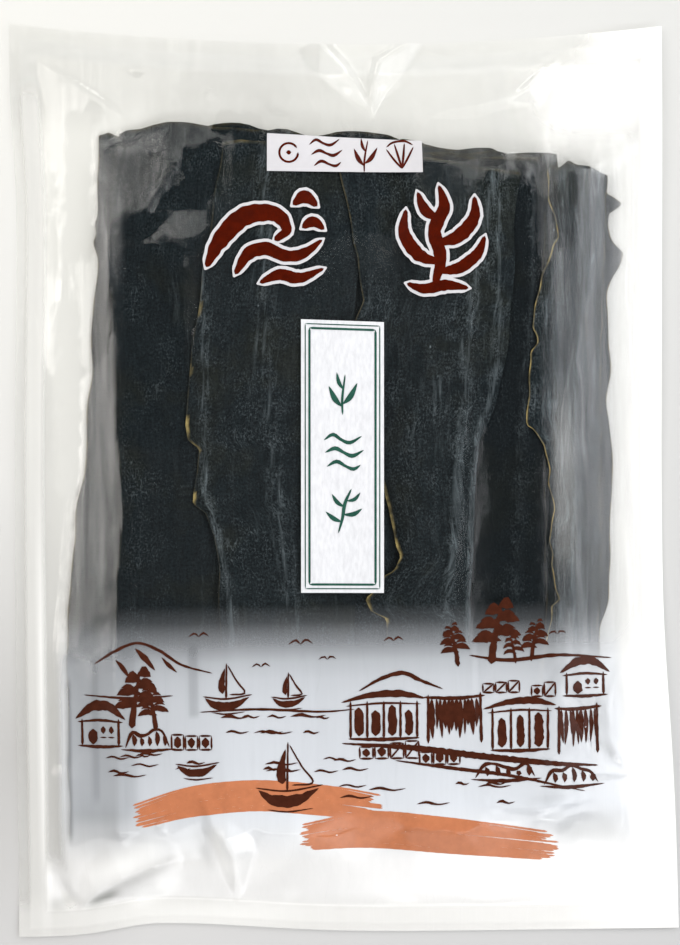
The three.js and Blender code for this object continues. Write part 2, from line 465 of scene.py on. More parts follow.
def build_blade(number, spec, below, sizes, material):
    """Shapes one blade from a grid, and returns its piece and the stack with it."""
    blade = KelpBlade(number, spec, below)
    piece = add_grid(spec["name"], sizes.blade_columns, sizes.blade_rows)
    even, v, _ = corners(piece).T + 0.5
    u = 0.5 - 0.5 * np.cos(math.pi * even)
    bottom, top = blade.bottom_at(u), blade.top_at(u)
    y = bottom + (top - bottom) * v
    left = blade.left(y) + LEFT_FRILL * blade.side_wave(y)
    right = blade.right(y) + RIGHT_FRILL * blade.side_wave(y + 500)
    x = left + (right - left) * u
    put_corners(piece, x, y, sampled(blade.field, x, y))

    from_end = np.minimum(y - bottom, top - y)
    give_attribute(piece, "rim", blade_rim(spec, y, x - left, right - x, from_end))
    give_attribute(piece, "dust_and_sheen", blade.dust_and_sheen(x, y))
    give_attribute(piece, "shade", np.full_like(x, spec.get("shade", 0.0)))
    loops = np.empty(len(piece.data.loops), dtype=int)
    piece.data.loops.foreach_get("vertex_index", loops)
    across = (x - (left + right) / 2) * MM + PATTERN_SHIFT[0] * number
    lengthwise = y * MM + PATTERN_SHIFT[1] * number
    pattern = np.column_stack((across, lengthwise))[loops]
    piece.data.uv_layers[0].data.foreach_set("uv", pattern.ravel())

    edge = np.minimum(np.minimum(x - left, right - x), from_end)
    thick = EDGE_THICKNESS + (1 - EDGE_THICKNESS) * smoothstep(edge, 0, EDGE_TAPER)
    levels = np.round(thick * 20) / 20
    group = piece.vertex_groups.new(name="body")
    for level in np.unique(levels):
        group.add(np.flatnonzero(levels == level).tolist(), float(level), "REPLACE")
    wall = piece.modifiers.new("Thickness", "SOLIDIFY")
    wall.thickness = sizes.blade_thickness
    wall.offset = 1
    wall.vertex_group = "body"
    wall.thickness_vertex_group = 0
    apply_modifiers(piece)
    finish_piece(piece, material)

    upper = blade.field + sizes.blade_thickness / MM
    return piece, np.where(blade.cover(0.5), np.maximum(below, upper), below)


# ---- The film ----
# Where the veil is thinner: the middle of a line, half its length and width, its turn and by how much.
UPRIGHT = math.pi / 2
THIN_VEIL = (
    (-126.5, -128, 40, 1.7, UPRIGHT, 0.42), (-113.8, -112, 38, 2.0, UPRIGHT, 0.2),
    (-112, -116, 44, 16, UPRIGHT, 0.24), (-98, -110, 45, 3, UPRIGHT, 0.1),
    (-68.7, -92, 18, 2.4, UPRIGHT, 0.25), (88, -112, 30, 3, 1.2, 0.1),
)
# Where the film's gloss is weaker, in the same way.
DULL_FILM = (
    (77, -10, 165, 15, UPRIGHT, 0.85), (-84, 60, 52, 17, UPRIGHT, 1.0), (-6, 131, 46, 27, 0, 1.0),
    (-45, 160, 12, 6, -0.1, 1.0), (-118, 134, 38, 8, UPRIGHT, 0.8), (-131, 116, 28, 4.5, UPRIGHT, 0.6),
    (-126, 38, 50, 7, UPRIGHT, 0.6), (-125, -11, 66, 3.6, 1.492, 0.6), (-122, 80, 34, 5.5, UPRIGHT, 0.55),
)
# Where the film lies in the shade of a fold, in the same way.
FOLD_SHADES = (
    (-111.5, -190.9, 11, 2.3, 0.42, 0.6), (-91, -179.2, 28, 3.1, 0.43, 0.3),
    (-129, -181, 14, 4.5, UPRIGHT, 0.16), (-131, -193, 9, 3, 0.3, 0.25), (112, -162, 30, 9, 0, 0.3),
    (-113, -157, 24, 10, 0, 0.16), (-65, -168, 14, 3, 1.9, 0.16), (118, -126, 9, 1.6, 2.2, 0.2),
    (103, -118, 18, 2, 1.15, 0.14), (126, -104, 20, 2.2, 1.75, 0.12), (92, -147, 16, 2.5, 0.1, 0.12),
)
# Where a face of a fold catches the light, in the same way.
FOLD_LIGHTS = (
    (-100, -173.5, 27, 5.5, 0.47, 0.65), (-89, -188, 17, 4.5, 0.4, 0.7), (-70, -200, 75, 7, 0, 0.4),
    (-57, -171, 19, 4, -1.24, 0.85),
)
# Where glare is painted on the film as a milk-white cover, in the same way.
PAINTED_GLARE_SPOTS = (
    (-137.6, -110, 120, 2.6, UPRIGHT, 0.12), (100.5, -5, 62, 5.5, UPRIGHT, 0.15),
    (-103, 118, 36, 4.5, UPRIGHT, 0.08),
)
# Facets of the film: their corners in order round them, their share and the width of their edge.
DULL_FACETS = (
    ([(-69.9, 149.3), (-51.3, 152.7), (-52.6, 130), (-60.4, 120.2), (-70.4, 120.3), (-71, 141.6)], 1, 3.6),
    ([(-71, 135.7), (-67, 134.8), (-67.2, 120.3), (-82.1, 120.5), (-80.7, 125.9)], 1, 3.6),
    ([(-99.9, 114.4), (-94.4, 119.8), (-82.1, 121), (-74.4, 120.4), (-85.5, 107.9), (-100, 106.3)], 1, 3.6),
)
# Facets where glare is painted on the film as a milk-white cover.
PAINTED_GLARE_FACETS = (
    ([(-7, 195), (1.8, 192.6), (9.8, 182.5), (14.4, 167), (3.8, 172), (-8.3, 182.8)], 0.18, 1.2),
    ([(18.9, 187.8), (33.5, 194.4), (29.7, 178.6), (17.7, 166), (15.8, 174.3)], 0.1, 1.2),
    ([(76, 169), (99, 185.7), (94.3, 170.9), (83, 166.5)], 0.26, 1.2),
    ([(-101, 155), (-79, 158), (-77.5, 149), (-99.5, 147)], 0.075, 2.4),
)
# Where the film is crinkled: x, y, reach and strength.
CRINKLES = (
    (-92, 130, 24, 5.0), (-75, 114, 16, 4.0), (-78, 152, 14, 2.5), (30, 172, 10, 0.3), (112, -130, 26, 0.4),
    (-92, -181, 24, 0.5),
)
# How much the white ink covers, by the place below the bag's middle.
VEIL = ((58, 0), (66, 0.06), (75, 0.26), (84, 0.54), (92, 0.65), (102, 0.71), (130, 0.77), (148, 0.84),
        (166, 0.96), (180, 0.98))
# Bands over which the film's painted light and glare change: from and to, across or along the bag, in
# millimetres.
RIGHT_BAND, LEFT_BAND, LOWER_BAND, UPPER_BAND = (94, 134), (-132, -120), (-185, -200), (168, 186)
CORNER_BANDS = ((66, 112), (138, 170))
VEIL_LEFT, VEIL_BOTTOM = (-133, -127), (-168, -182)  # where the white ink begins beside and below
THINNER_ACROSS, THINNER_ALONG = (-105, -40), (-165, -180)  # where the veil is a little thinner at the left
WELD_EDGE, WELD_STRIPE = (-0.8, 0.4), (-8.2, -7.2)  # measured from the line where the weld begins
FLANGE_COVER, LOWER_PAINTED_LIGHT = 0.2, 0.8  # how milk-white the weld is beside its stripe, and how much painted light whitens it at the bag's lower end; at the right painted light whitens it in full
RIGHT_PAINTED_LIGHT, LEFT_PAINTED_SHADE, UPPER_PAINTED_SHADE = 0.4, 0.25, 0.93  # how much painted light whitens the weld at the right, and how much painted shade takes from it at the left and at the top
CORNER_GLARE, RIGHT_GLARE, GLARE_REACH = 0.6, 0.34, 16  # painted glare, as a milk-white cover, at the upper right corner and beside the right weld, and how far in it reaches there
VEIL_EDGE, THINNER_VEIL = (-1.5, -0.3), 0.16
RAGGED = 0.8  # how uneven the edge of a dull spot is
TOUCHING = (0.55, 2.6)  # up to which gap the film seems to touch the kelp, and from which it doesn't
CLING_ALONG = ((40, 110), (-165, -130))  # the films stop clinging over these bands
CLING_HEIGHT = 0.6  # of the front film over the back one there
HIGHEST = 40.0  # the film never rises to this height
BACK_LIFT = 0.08  # of the back film over the table
BACK_SHEEN = 0.2  # the share of its gloss that the back film keeps
# Folds of the film: places that the fold runs through, each with x, y, its rise there and how far it
# spreads to its left and right as one looks along it.
CREASES = [
    [(15.0, 164.5, 0.4, 1.5, 1.5), (10.5, 174, 2.0, 6, 3), (3, 186, 3.0, 10, 4), (-7, 197, 2.2, 10, 4)],
    [(15.6, 164.5, 0.4, 1.5, 1.5), (16.2, 177, 2.8, 2.5, 8), (19.1, 188, 4.0, 3.5, 13),
     (33.8, 197, 1.6, 3, 6)],
    [(-42, 184, 0.3, 6, 10), (-38, 171.3, 1.0, 8, 16), (-31, 163.5, 0.9, 7, 12), (-19, 160.5, 0.2, 3, 5)],
    [(-61, 178, 0.1, 2, 2), (-57, 175, 1.1, 3, 4), (-55, 171, 0.1, 2, 2)],
    [(-98, 189, 0.1, 2, 2), (-91, 186, 0.9, 3, 4), (-84, 187, 0.1, 2, 2)],
    [(79.2, 169.7, 0.2, 2, 2), (87, 175, 2.6, 3, 9), (97.7, 186, 1.2, 2, 5)],
    [(40, 164, 0.2, 5, 4), (62, 167, 1.6, 12, 5), (84, 173, 0.3, 8, 5)],
    [(-136, 191, 0.3, 2, 5), (-126, 185, 1.7, 2.5, 14), (-110, 174, 2.3, 3, 24), (-96, 163, 0.3, 2, 16)],
    [(-132, 132, 0, 3, 6), (-126, 110, 1.0, 3, 6), (-127, 80, 1.0, 3, 6), (-133, 50, 0, 3, 6)],
    [(-104, 118, 0.1, 8, 4), (-97, 120, 1.3, 14, 5), (-87, 122, 1.7, 17, 5), (-80, 131, 1.5, 15, 4),
     (-73, 143, 1.2, 14, 4), (-70, 154, 0.3, 10, 4)],
    [(-88, 112, 0.1, 4, 5), (-81, 109.5, 1.5, 9, 5), (-70, 108, 1.8, 10, 6), (-61, 112, 0.1, 4, 5)],
    [(-122.9, -195.1, 0.2, 4, 2), (-113.6, -188, 3.4, 12, 4.5), (-102.1, -181.5, 4.6, 18, 11),
     (-88.3, -176.5, 3.7, 17, 15), (-75, -173.4, 0.4, 8, 10)],
    [(-136, -177, 0, 4, 5), (-128, -191, -1.8, 4, 5), (-121, -196, 0, 4, 5)],
    [(-65, -145.2, 0.5, 2.5, 2.5), (-60.6, -157.6, 2.0, 7, 5), (-52.5, -170.6, 3.4, 12, 7),
     (-49.6, -189.8, 0.6, 2, 4)],
    [(-80.7, -150.9, 0.1, 0.6, 0.6), (-84.6, -158.6, 1.3, 4.5, 3), (-86.4, -161.6, 0.2, 2, 2)],
    [(98.1, -97, -0.3, 4, 2), (108, -114, -2.8, 15, 2.5), (117.2, -134, -0.3, 8, 2)],
    [(117.5, -118, 0.1, 1, 1), (122.5, -128, 1.9, 5, 2.5), (128.2, -136.5, 0.1, 1, 1)],
    [(100, -131, 0.1, 3, 3), (112, -136.5, 1.5, 4, 3), (131, -137, 0.1, 3, 3)],
    [(84, -126, 0.1, 2, 2), (97, -133, 1.3, 6, 2.5), (108, -144, 0.1, 3, 3)],
    [(125, -88, 0.1, 2, 2), (119, -108, 1.4, 3, 7), (121, -122, 0.1, 2, 2)],
    [(60, -150, 0.1, 3, 3), (86, -152, 1.2, 6, 3), (112, -147, 0.1, 3, 3)],
    [(133, 196, 0, 3, 3), (141, 188, 0.8, 3, 3), (143, 178, 0, 3, 3)],
]


def crease_height(x, y):
    """How much all the folds raise the film at each place."""
    total = np.zeros_like(x)
    for crease in CREASES:
        best = np.full_like(x, 1e9)
        rise = np.zeros_like(x)
        for (px, py, *start), (qx, qy, *end) in zip(crease, crease[1:]):
            sx, sy = qx - px, qy - py
            share = np.clip(((x - px) * sx + (y - py) * sy) / (sx * sx + sy * sy), 0, 1)
            ox, oy = x - px - share * sx, y - py - share * sy
            away = np.hypot(ox, oy)
            top, left, right = (a + (b - a) * share for a, b in zip(start, end))
            spread = np.where(sx * oy - sy * ox > 0, left, right)
            closer = away < best
            best = np.where(closer, away, best)
            rise = np.where(closer, top * np.clip(1 - away / spread, 0, 1), rise)
        total += rise
    return total


# Beside the left edge of the lowest blade the two films cling to each other.
CLING_GAP = 2.5
LOWEST_LEFT = next(spec for spec in BLADES if spec["name"] == "kelp_left_low")
CLINGING_LEFT = line_through([(y, x - CLING_GAP) for y, x in LOWEST_LEFT["left"]])

TAUTENING = ((4, 600), (2, 400), (1, 500))  # grids from coarse to fine: pitch in millimetres, and passes


def taut_film(floor, ceiling, fixed, fixed_height):
    """The tautest sheet above the floor and below the ceiling that starts from the fixed margin."""
    height = None
    for pitch, passes in TAUTENING:
        low = floor[::pitch, ::pitch]
        high = ceiling[::pitch, ::pitch]
        held = fixed[::pitch, ::pitch]
        held_height = fixed_height[::pitch, ::pitch]
        if height is None:
            height = np.maximum(low, held_height)
        else:
            height = between(height, *np.indices(low.shape) / 2)
        for _ in range(passes):
            spanned = height.copy()
            spanned[1:-1, 1:-1] = (
                height[:-2, 1:-1] + height[2:, 1:-1] + height[1:-1, :-2] + height[1:-1, 2:]
            ) / 4
            height = np.where(held, held_height, np.maximum(np.minimum(spanned, high), low))
    return height


TAUT_WAVE, LOOSE_WAVE = 0.05, 0.25  # how much the film waves on the kelp, and where it spans a gap
LOOSE_FINE_WAVE = 0.4  # the share of fine waves in that
LOOSE_GAP = (0.6, 3.0)  # the film waves freely over a gap like this
LEAST_CLEARANCE = 0.6  # of the usual clearance, under a fold


def film_height(x, y):
    """The front film's height, with its folds and its fine waves."""
    base = sampled(stack["film"], x, y)
    inside = smoothstep(from_weld(x, y), -2, 8)
    fine = swells(41, 7, 7, 24)(x, y / 4)
    broad = swells(42, 5, 30, 80)(x, y / 3)
    over_kelp = sampled(stack["kelp"], x, y)
    loose = smoothstep(base - over_kelp, *LOOSE_GAP)
    height = base + crease_height(x, y)
    height = height + inside * (TAUT_WAVE * fine + LOOSE_WAVE * loose * (broad + LOOSE_FINE_WAVE * fine))
    return np.maximum(height, over_kelp + FILM_CLEARANCE * LEAST_CLEARANCE)


def spots(places, x, y, edge=0.8, power=4):
    """How much a list of soft spots covers each place."""
    clear = np.ones_like(x)
    for line_x, line_y, wide, high, turn, share in places:
        along = (x - line_x) * math.cos(turn) + (y - line_y) * math.sin(turn)
        aside = (y - line_y) * math.cos(turn) - (x - line_x) * math.sin(turn)
        near = (1 - smoothstep(np.abs(along), edge * wide, wide)) * np.exp(-(np.abs(aside / high) ** power))
        clear = clear * (1 - share * near)
    return 1 - clear


def facets(places, x, y):
    """How much soft-edged facets cover each place."""
    total = np.zeros_like(x)
    for ring, share, edge in places:
        ring = np.array(ring, dtype=float)
        inside = np.full_like(x, 1e9)
        for (px, py), (qx, qy) in zip(ring, np.roll(ring, -1, axis=0)):
            clockwise = (py - y) * (qx - px) - (px - x) * (qy - py)
            inside = np.minimum(inside, clockwise / math.hypot(qx - px, qy - py))
        total = np.maximum(total, share * smoothstep(inside, -edge, edge))
    return total


def film_places(u, v):
    """Where a point of the bag lies, from its share of the way across and up."""
    even_x = BAG_WIDTH * (u - 0.5)
    even_y = BAG_LENGTH * (v - 0.5)
    x = left_edge(even_y) * (1 - u) + right_edge(even_y) * u
    y = bottom_edge(even_x) * (1 - v) + top_edge(even_x) * v
    return x, y


# ---- Prints: brush strokes that lie on the film ----
# A stroke is a list of places with the brush's width there: (x, y, width), in millimetres.
STROKE_STEP = 1.3
FINE_STEP = 0.9
STROKE_FACE = 1.6  # the widest face across a stroke
STROKE_LIFT, STROKE_LEVELS = 0.004, 12  # each stroke lies a step over the last, in so many steps


def smooth_path(points, step):
    """A rounded path through the places, in even steps."""
    points = np.array(points, dtype=float)
    if len(points) == 2:
        points = np.array([points[0], (points[0] + points[1]) / 2, points[1]])
    ends = np.vstack((2 * points[0] - points[1], points, 2 * points[-1] - points[-2]))
    fine = []
    for a, b, c, d in zip(ends, ends[1:], ends[2:], ends[3:]):
        bend = 2 * a - 5 * b + 4 * c - d
        twist = 3 * b - a - 3 * c + d
        for t in np.linspace(0, 1, 12, endpoint=False):
            fine.append(0.5 * (2 * b + (c - a) * t + bend * t**2 + twist * t**3))
    fine = np.array(fine + [points[-1]])
    along = np.concatenate(([0], np.cumsum(np.hypot(*np.diff(fine[:, :2], axis=0).T))))
    count = max(4, int(along[-1] / step) + 1)
    even = np.linspace(0, along[-1], count)
    return np.column_stack([np.interp(even, along, fine[:, i]) for i in range(3)]), along[-1]


def ribbon(name, points, lift, widen=0.0, step=STROKE_STEP, rough=0.0, seed=0):
    """A brush stroke as a strip of faces over the film, its ends rounded."""
    path, length = smooth_path(points, step)
    if widen:
        first = path[0, :2] - path[1, :2]
        last = path[-1, :2] - path[-2, :2]
        path[0, :2] += first / max(np.hypot(*first), 1e-6) * widen
        path[-1, :2] += last / max(np.hypot(*last), 1e-6) * widen
    width = path[:, 2].max() + 2 * widen
    columns = max(2, int(math.ceil(width / STROKE_FACE)))
    piece = add_grid(name, columns, len(path) - 1)
    place = corners(piece)
    s = place[:, 0] + 0.5
    t = place[:, 1] + 0.5
    steps = np.linspace(0, 1, len(path))
    x, y, w = (np.interp(t, steps, path[:, i]) for i in range(3))
    tangent = np.gradient(path[:, :2], axis=0)
    tangent /= np.maximum(np.hypot(*tangent.T), 1e-9)[:, None]
    tx, ty = np.interp(t, steps, tangent[:, 0]), np.interp(t, steps, tangent[:, 1])
    half = w / 2 + widen
    from_end = np.minimum(t, 1 - t) * (length + 2 * widen)
    past_round = np.clip(1 - from_end / np.maximum(half, 0.2), 0, 1)
    round_off = np.sqrt(np.clip(1 - past_round**2, 0.02, 1))
    if rough:
        edge = waves(seed, 5, 1.2, 9)
        half = half * (1 + rough * edge(t * length + 40 * (s > 0.5)))
    away = (s - 0.5) * 2 * half * round_off
    x, y = x + ty * away, y - tx * away
    put_corners(piece, x, y, film_height(x, y) + lift)
    return piece


def join_print(pieces, name, thickness, material):
    """Joins the strokes, gives them the ink's thickness and fixes them to the bag."""
    bpy.ops.object.select_all(action="DESELECT")
    for piece in pieces:
        piece.select_set(True)
    whole = pieces[0]
    bpy.context.view_layer.objects.active = whole
    bpy.ops.object.join()
    whole.name = whole.data.name = name
    bpy.ops.object.mode_set(mode="EDIT")
    bpy.ops.mesh.select_all(action="SELECT")
    bpy.ops.object.mode_set(mode="OBJECT")
    facing = np.empty(len(whole.data.polygons) * 3)
    whole.data.polygons.foreach_get("normal", facing)
    down = facing.reshape(-1, 3)[:, 2] < 0
    whole.data.polygons.foreach_set("select", down)
    whole.data.update()
    bpy.ops.object.mode_set(mode="EDIT")
    bpy.ops.mesh.flip_normals()
    bpy.ops.object.mode_set(mode="OBJECT")
    wall = whole.modifiers.new("Thickness", "SOLIDIFY")
    wall.thickness = thickness
    wall.offset = 1
    apply_modifiers(whole)
    finish_piece(whole, material)
    return whole


def plate(name, lower_left, lower_right, upper_left, upper_right, lift, step=1.5):
    """A four-cornered sheet that follows the film."""
    wide = math.dist(lower_left, lower_right)
    high = math.dist(lower_left, upper_left)
    piece = add_grid(name, max(2, round(wide / step)), max(2, round(high / step)))
    place = corners(piece)
    s, t = (place[:, :2] + 0.5).T
    x, y = within(lower_left, lower_right, upper_left, upper_right, s, t)
    put_corners(piece, x, y, film_height(x, y) + lift)
    return piece


def within(lower_left, lower_right, upper_left, upper_right, s, t):
    """A place in a four-cornered field, from its shares across and up."""
    return tuple(
        (low_left * (1 - s) + low_right * s) * (1 - t) + (top_left * (1 - s) + top_right * s) * t
        for low_left, low_right, top_left, top_right in zip(lower_left, lower_right, upper_left, upper_right)
    )


def moved(strokes, x, y, scale=1.0, turn=0.0):
    """The strokes at another place and size."""
    c, s = math.cos(turn) * scale, math.sin(turn) * scale
    return [
        [(x + c * px - s * py, y + s * px + c * py, w * scale) for px, py, w in stroke]
        for stroke in strokes
    ]


LABEL_CORNERS = ((-19.4, -52.7), (18.0, -53.3), (-17.6, 70.8), (19.8, 68.9))
LABEL_BORDERS = ((1.9, 0.48), (3.8, 1.0))  # how far in, and how wide
LABEL_MIDDLE = 0.6
LABEL_PRINT_LIFT = 0.03
WHITE_BOX = ((-32.0, 137.9), (38.4, 136.4), (-31.7, 155.1), (38.2, 150.9))

# Small motifs round their own middle, about 16 mm high.
FROND = [
    [(-2, -9, 0.5), (-0.6, -3, 1.2), (0.2, 3, 1.4), (2.6, 9, 0.5)],
    [(-0.8, -4.5, 0.5), (-4.2, -3.2, 1.9), (-7.4, -0.6, 0.4)],
    [(-0.4, -1.5, 0.5), (3.8, -1.2, 1.9), (7.2, 1.2, 0.4)],
    [(0, 1.5, 0.5), (-3, 3.4, 1.7), (-5.2, 6.6, 0.4)],
    [(0.8, 4, 0.5), (4, 4.8, 1.5), (6.2, 7.6, 0.4)],
]
RIPPLES = [
    [(-8, 5, 0.4), (-4.5, 7.4, 1.5), (-1, 5.4, 1.2), (2.6, 4.4, 1.5), (7.2, 7.2, 0.4)],
    [(-7.4, 0, 0.4), (-3.4, 1.9, 1.7), (0.2, 0.3, 1.2), (3.8, -0.9, 1.7), (8.2, 1.6, 0.4)],
    [(-6.4, -5.6, 0.4), (-2.6, -3.4, 1.6), (1.2, -5.2, 1.1), (4.4, -6.2, 1.5), (7.2, -4.4, 0.4)],
]
SPRIG = [
    [(0.4, -8.6, 0.6), (0, -2, 1.0), (0.8, 7.6, 0.5)],
    [(0, -5.4, 0.4), (-3, -2.2, 2.3), (-5.6, 2.8, 0.4)],
    [(0.2, -4.4, 0.4), (3.2, -1.2, 2.3), (5.8, 4.4, 0.4)],
    [(0.3, 1.6, 0.4), (-1.6, 4.4, 1.6), (-2.6, 8.4, 0.4)],
]
SUN = [
    [(math.cos(a) * 4.6, math.sin(a) * 4.6, 1.1) for a in np.linspace(0.5, 6.3, 14)],
    [(-1.2, 0, 2.2), (1.2, 0.1, 2.2)],
]
SHELL = [
    [(0, -6.4, 0.8), (-3.4, -1.5, 1.1), (-6.6, 4.2, 0.6)],
    [(0, -6.4, 0.8), (-1.2, 0, 1.2), (-2.4, 6.4, 0.6)],
    [(0, -6.4, 0.8), (1.4, 0, 1.2), (2.6, 6.2, 0.6)],
    [(0, -6.4, 0.8), (3.6, -1.2, 1.1), (6.8, 3.8, 0.6)],
    [(-6.4, 5.2, 0.7), (-3, 7.2, 1.1), (2.8, 7.2, 1.1), (6.6, 4.8, 0.7)],
]

# The white box's motifs: their share of the way across and their turn. The label's: their place along it.
BOX_MOTIFS = ((SUN, 0.14, 0), (RIPPLES, 0.38, 0.05), (SPRIG, 0.63, -0.1), (SHELL, 0.86, 0.1))
BOX_SCALE = 0.92
LABEL_MOTIFS = ((SPRIG, 37), (RIPPLES, 10), (FROND, -16))
LABEL_SCALE, LABEL_TURN, LABEL_STEP = 1.12, math.radians(-3), 1.2

# The two large motifs: a breaking wave and a kelp plant.
WAVE_MOTIF = [
    [(-27, -13, 2.4), (-20.5, -1, 7.4), (-9.5, 9.5, 8.6), (4, 10.5, 7.0), (9.5, 3.5, 4.6), (4, -1.5, 2.6)],
    [(-14, -16.5, 2), (-8, -7.5, 5.6), (0, -5.2, 6), (9, -8.6, 5.2), (17, -7.5, 4.6), (25.5, -1.5, 1.2)],
    [(-3, -20.5, 1.6), (6, -17, 5.0), (15, -18.6, 4.8), (26, -14.5, 1.2)],
    [(12.5, 14.5, 2.2), (18, 18, 6.0), (23.5, 13.8, 2.0)],
    [(16.5, 4, 2.0), (21.5, 6.8, 5.0), (26.5, 3.2, 1.6)],
]
PLANT_MOTIF = [
    [(-2, -22, 3.0), (0.8, -10, 5.6), (-1.8, 3, 6.2), (2.8, 14, 5.4), (0.5, 24, 1.4)],
    [(0, -12, 2.4), (-9.5, -8, 6.0), (-16, 2, 5.4), (-15, 13, 1.6)],
    [(-1, -3, 2.4), (9, 0, 6.2), (16.5, 8.5, 5.4), (17, 18.5, 1.6)],
    [(0, -16, 2.4), (9.5, -14.5, 5.4), (18, -8, 4.8), (21.5, 0, 1.4)],
    [(0.5, 8, 2.0), (-6, 12.5, 5.0), (-9.5, 21, 1.4)],
    [(-15, -21.5, 1.6), (-7, -24, 4.6), (3, -22.5, 5.0), (13.5, -24, 1.6)],
]
WAVE_PLACE, PLANT_PLACE = (-33, 108, 1.0), (45, 107, 0.97)  # x, y and scale
OUTLINE = 1.45  # how far the white outline stands out round them

# The brushed bands: from and to where, their height, and how many bristles draw them.
BANDS = (
    dict(path=[(-96, -153), (-70, -146.5), (-40, -144), (-8, -147), (14, -150)],
         height=14, bristles=17, seed=5),
    dict(path=[(-20, -163), (10, -160.5), (45, -163.5), (93, -169)], height=17, bristles=21, seed=9),
)


def sketch(x, y, wide, high, *lines):
    """Lines from a corner at x, y, their places given as shares of a width and a height."""
    return [[(x + a * wide, y + b * high, width) for a, b, width in line] for line in lines]


def pine(x, y, height, lean=0.0):
    """A windswept pine: a bent trunk and flat layers of needles."""
    strokes = sketch(x, y, lean, height, [(0, 0, 0.13 * height), (0.3, 0.4, 0.1 * height), (1, 1, 0.7)])
    layers = ((0.4, -0.34), (0.5, 0.36), (0.63, -0.32), (0.74, 0.3), (0.86, -0.22), (0.96, 0.18))
    for share, reach in layers:
        strokes += sketch(
            x + lean * share, y + height * share, reach * height, 1,
            [(-0.3, -0.4, 0.5), (0.35, 1.0, height * 0.15), (0.8, 0.5, height * 0.13), (1.15, -0.8, 0.4)],
            [(0.05, 2.2, 0.3), (0.5, 3.4, height * 0.08), (0.9, 2.4, 0.3)],
        )
    return strokes


def boat(x, y, size, sail=True):
    """A small boat: a full hull, a mast and a sail."""
    strokes = sketch(
        x, y, size, size,
        [(-1, 0.34, 0.5), (-0.5, 0, 0.36 * size), (0.3, -0.03, 0.4 * size), (1.1, 0.38, 0.5)],
        [(-1.1, 0.42, 0.6), (0, 0.3, 0.9), (1.25, 0.5, 0.6)],
        [(-0.7, -0.34, 0.3), (0, -0.42, 0.8), (0.9, -0.32, 0.3)],
    )
    if sail:
        strokes += sketch(
            x, y, size, size,
            [(0, 0.3, 1.1), (0.05, 2.0, 0.7)],
            [(0.16, 0.5, 0.7), (0.9, 0.58, 0.9), (0.52, 1.15, 0.8), (0.1, 1.9, 0.6)],
            [(-0.16, 0.55, 0.3 * size), (-0.2, 1.05, 0.3 * size), (-0.04, 1.75, 0.5)],
        )
    return strokes


def rack(x, y, wide, high, hanging, seed):
    """A drying rack: two posts, rails, and kelp blades that hang from it."""
    rng = np.random.default_rng(seed)
    top = y + high * 0.92
    strokes = [
        [(x, y, 1.5), (x + 0.3, y + high, 1.1)],
        [(x + wide, y, 1.5), (x + wide - 0.2, y + high * 1.04, 1.1)],
        [(x - 1.8, y + high * 0.95, 1.0), (x + wide * 0.5, top, 1.8), (x + wide + 2, y + high * 0.97, 0.9)],
    ]
    for share in np.linspace(0.08, 0.92, hanging):
        drop = high * rng.uniform(0.5, 0.85)
        cx = x + wide * share + rng.uniform(-0.4, 0.4)
        width = rng.uniform(1.3, 3.4)
        strokes.append([(cx, top, 0.9), (cx + rng.uniform(-0.4, 0.4), top - drop * 0.45, width),
                        (cx + rng.uniform(-0.8, 0.8), top - drop, 0.5)])
    return strokes


def shed(x, y, wide, high, openings, seed):
    """A boat shed: a heavy roof, posts, and dark openings between them."""
    rng = np.random.default_rng(seed)
    ridge = y + high
    strokes = [
        [(x - 4, ridge - 2.5, 0.6), (x + wide * 0.3, ridge + 0.6, 2.6), (x + wide * 0.75, ridge + 1.2, 3.2),
         (x + wide + 4, ridge - 1, 0.7)],
        [(x - 2, ridge - 4.2, 0.5), (x + wide / 2, ridge - 3, 1.0), (x + wide + 2, ridge - 3.6, 0.5)],
        [(x - 1, y, 0.8), (x + wide / 2, y - 0.4, 1.8), (x + wide + 1, y + 0.2, 0.8)],
    ]
    for share in np.linspace(0, 1, openings + 1):
        strokes.append([(x + wide * share, y, 1.3), (x + wide * share + 0.2, ridge - 2, 1.0)])
    for place in range(openings):
        cx = x + wide * (place + 0.5) / openings
        width = wide / openings * rng.uniform(0.4, 0.62)
        top = y + high * rng.uniform(0.66, 0.8)
        middle = (y + top) / 2
        strokes.append([(cx, top, width * 0.8), (cx + 0.3, middle, width), (cx, y + 1.2, width * 0.9)])
    return strokes


def house(x, y, wide, high):
    """A fisher's house: a dark roof, walls, a door and windows."""
    eaves = y + 0.58 * high
    strokes = [
        [(x - 3, eaves, 0.8), (x + 0.28 * wide, eaves + 0.26 * high, 0.2 * high),
         (x + 0.72 * wide, eaves + 0.27 * high, 0.2 * high), (x + wide + 3, eaves - 0.3, 0.8)],
        [(x - 2, eaves - 1.4, 0.6), (x + 0.5 * wide, eaves - 0.6, 1.3), (x + wide + 2, eaves - 1.6, 0.6)],
        [(x, y, 1.3), (x, eaves, 1.0)], [(x + wide, y, 1.4), (x + wide, eaves, 1.0)],
        [(x - 2, y, 0.7), (x + 0.5 * wide, y - 0.5, 1.6), (x + wide + 2, y, 0.7)],
        [(x + 0.3 * wide, y + 0.6, 0.24 * wide), (x + 0.3 * wide, y + 0.36 * high, 0.24 * wide)],
    ]
    for share in (0.58, 0.8):
        strokes += sketch(
            x, y, wide, high,
            [(share, 0.26, 0.13 * wide), (share, 0.42, 0.13 * wide)],
            [(share - 0.09, 0.18, 0.7), (share + 0.09, 0.18, 0.7)],
        )
    return strokes


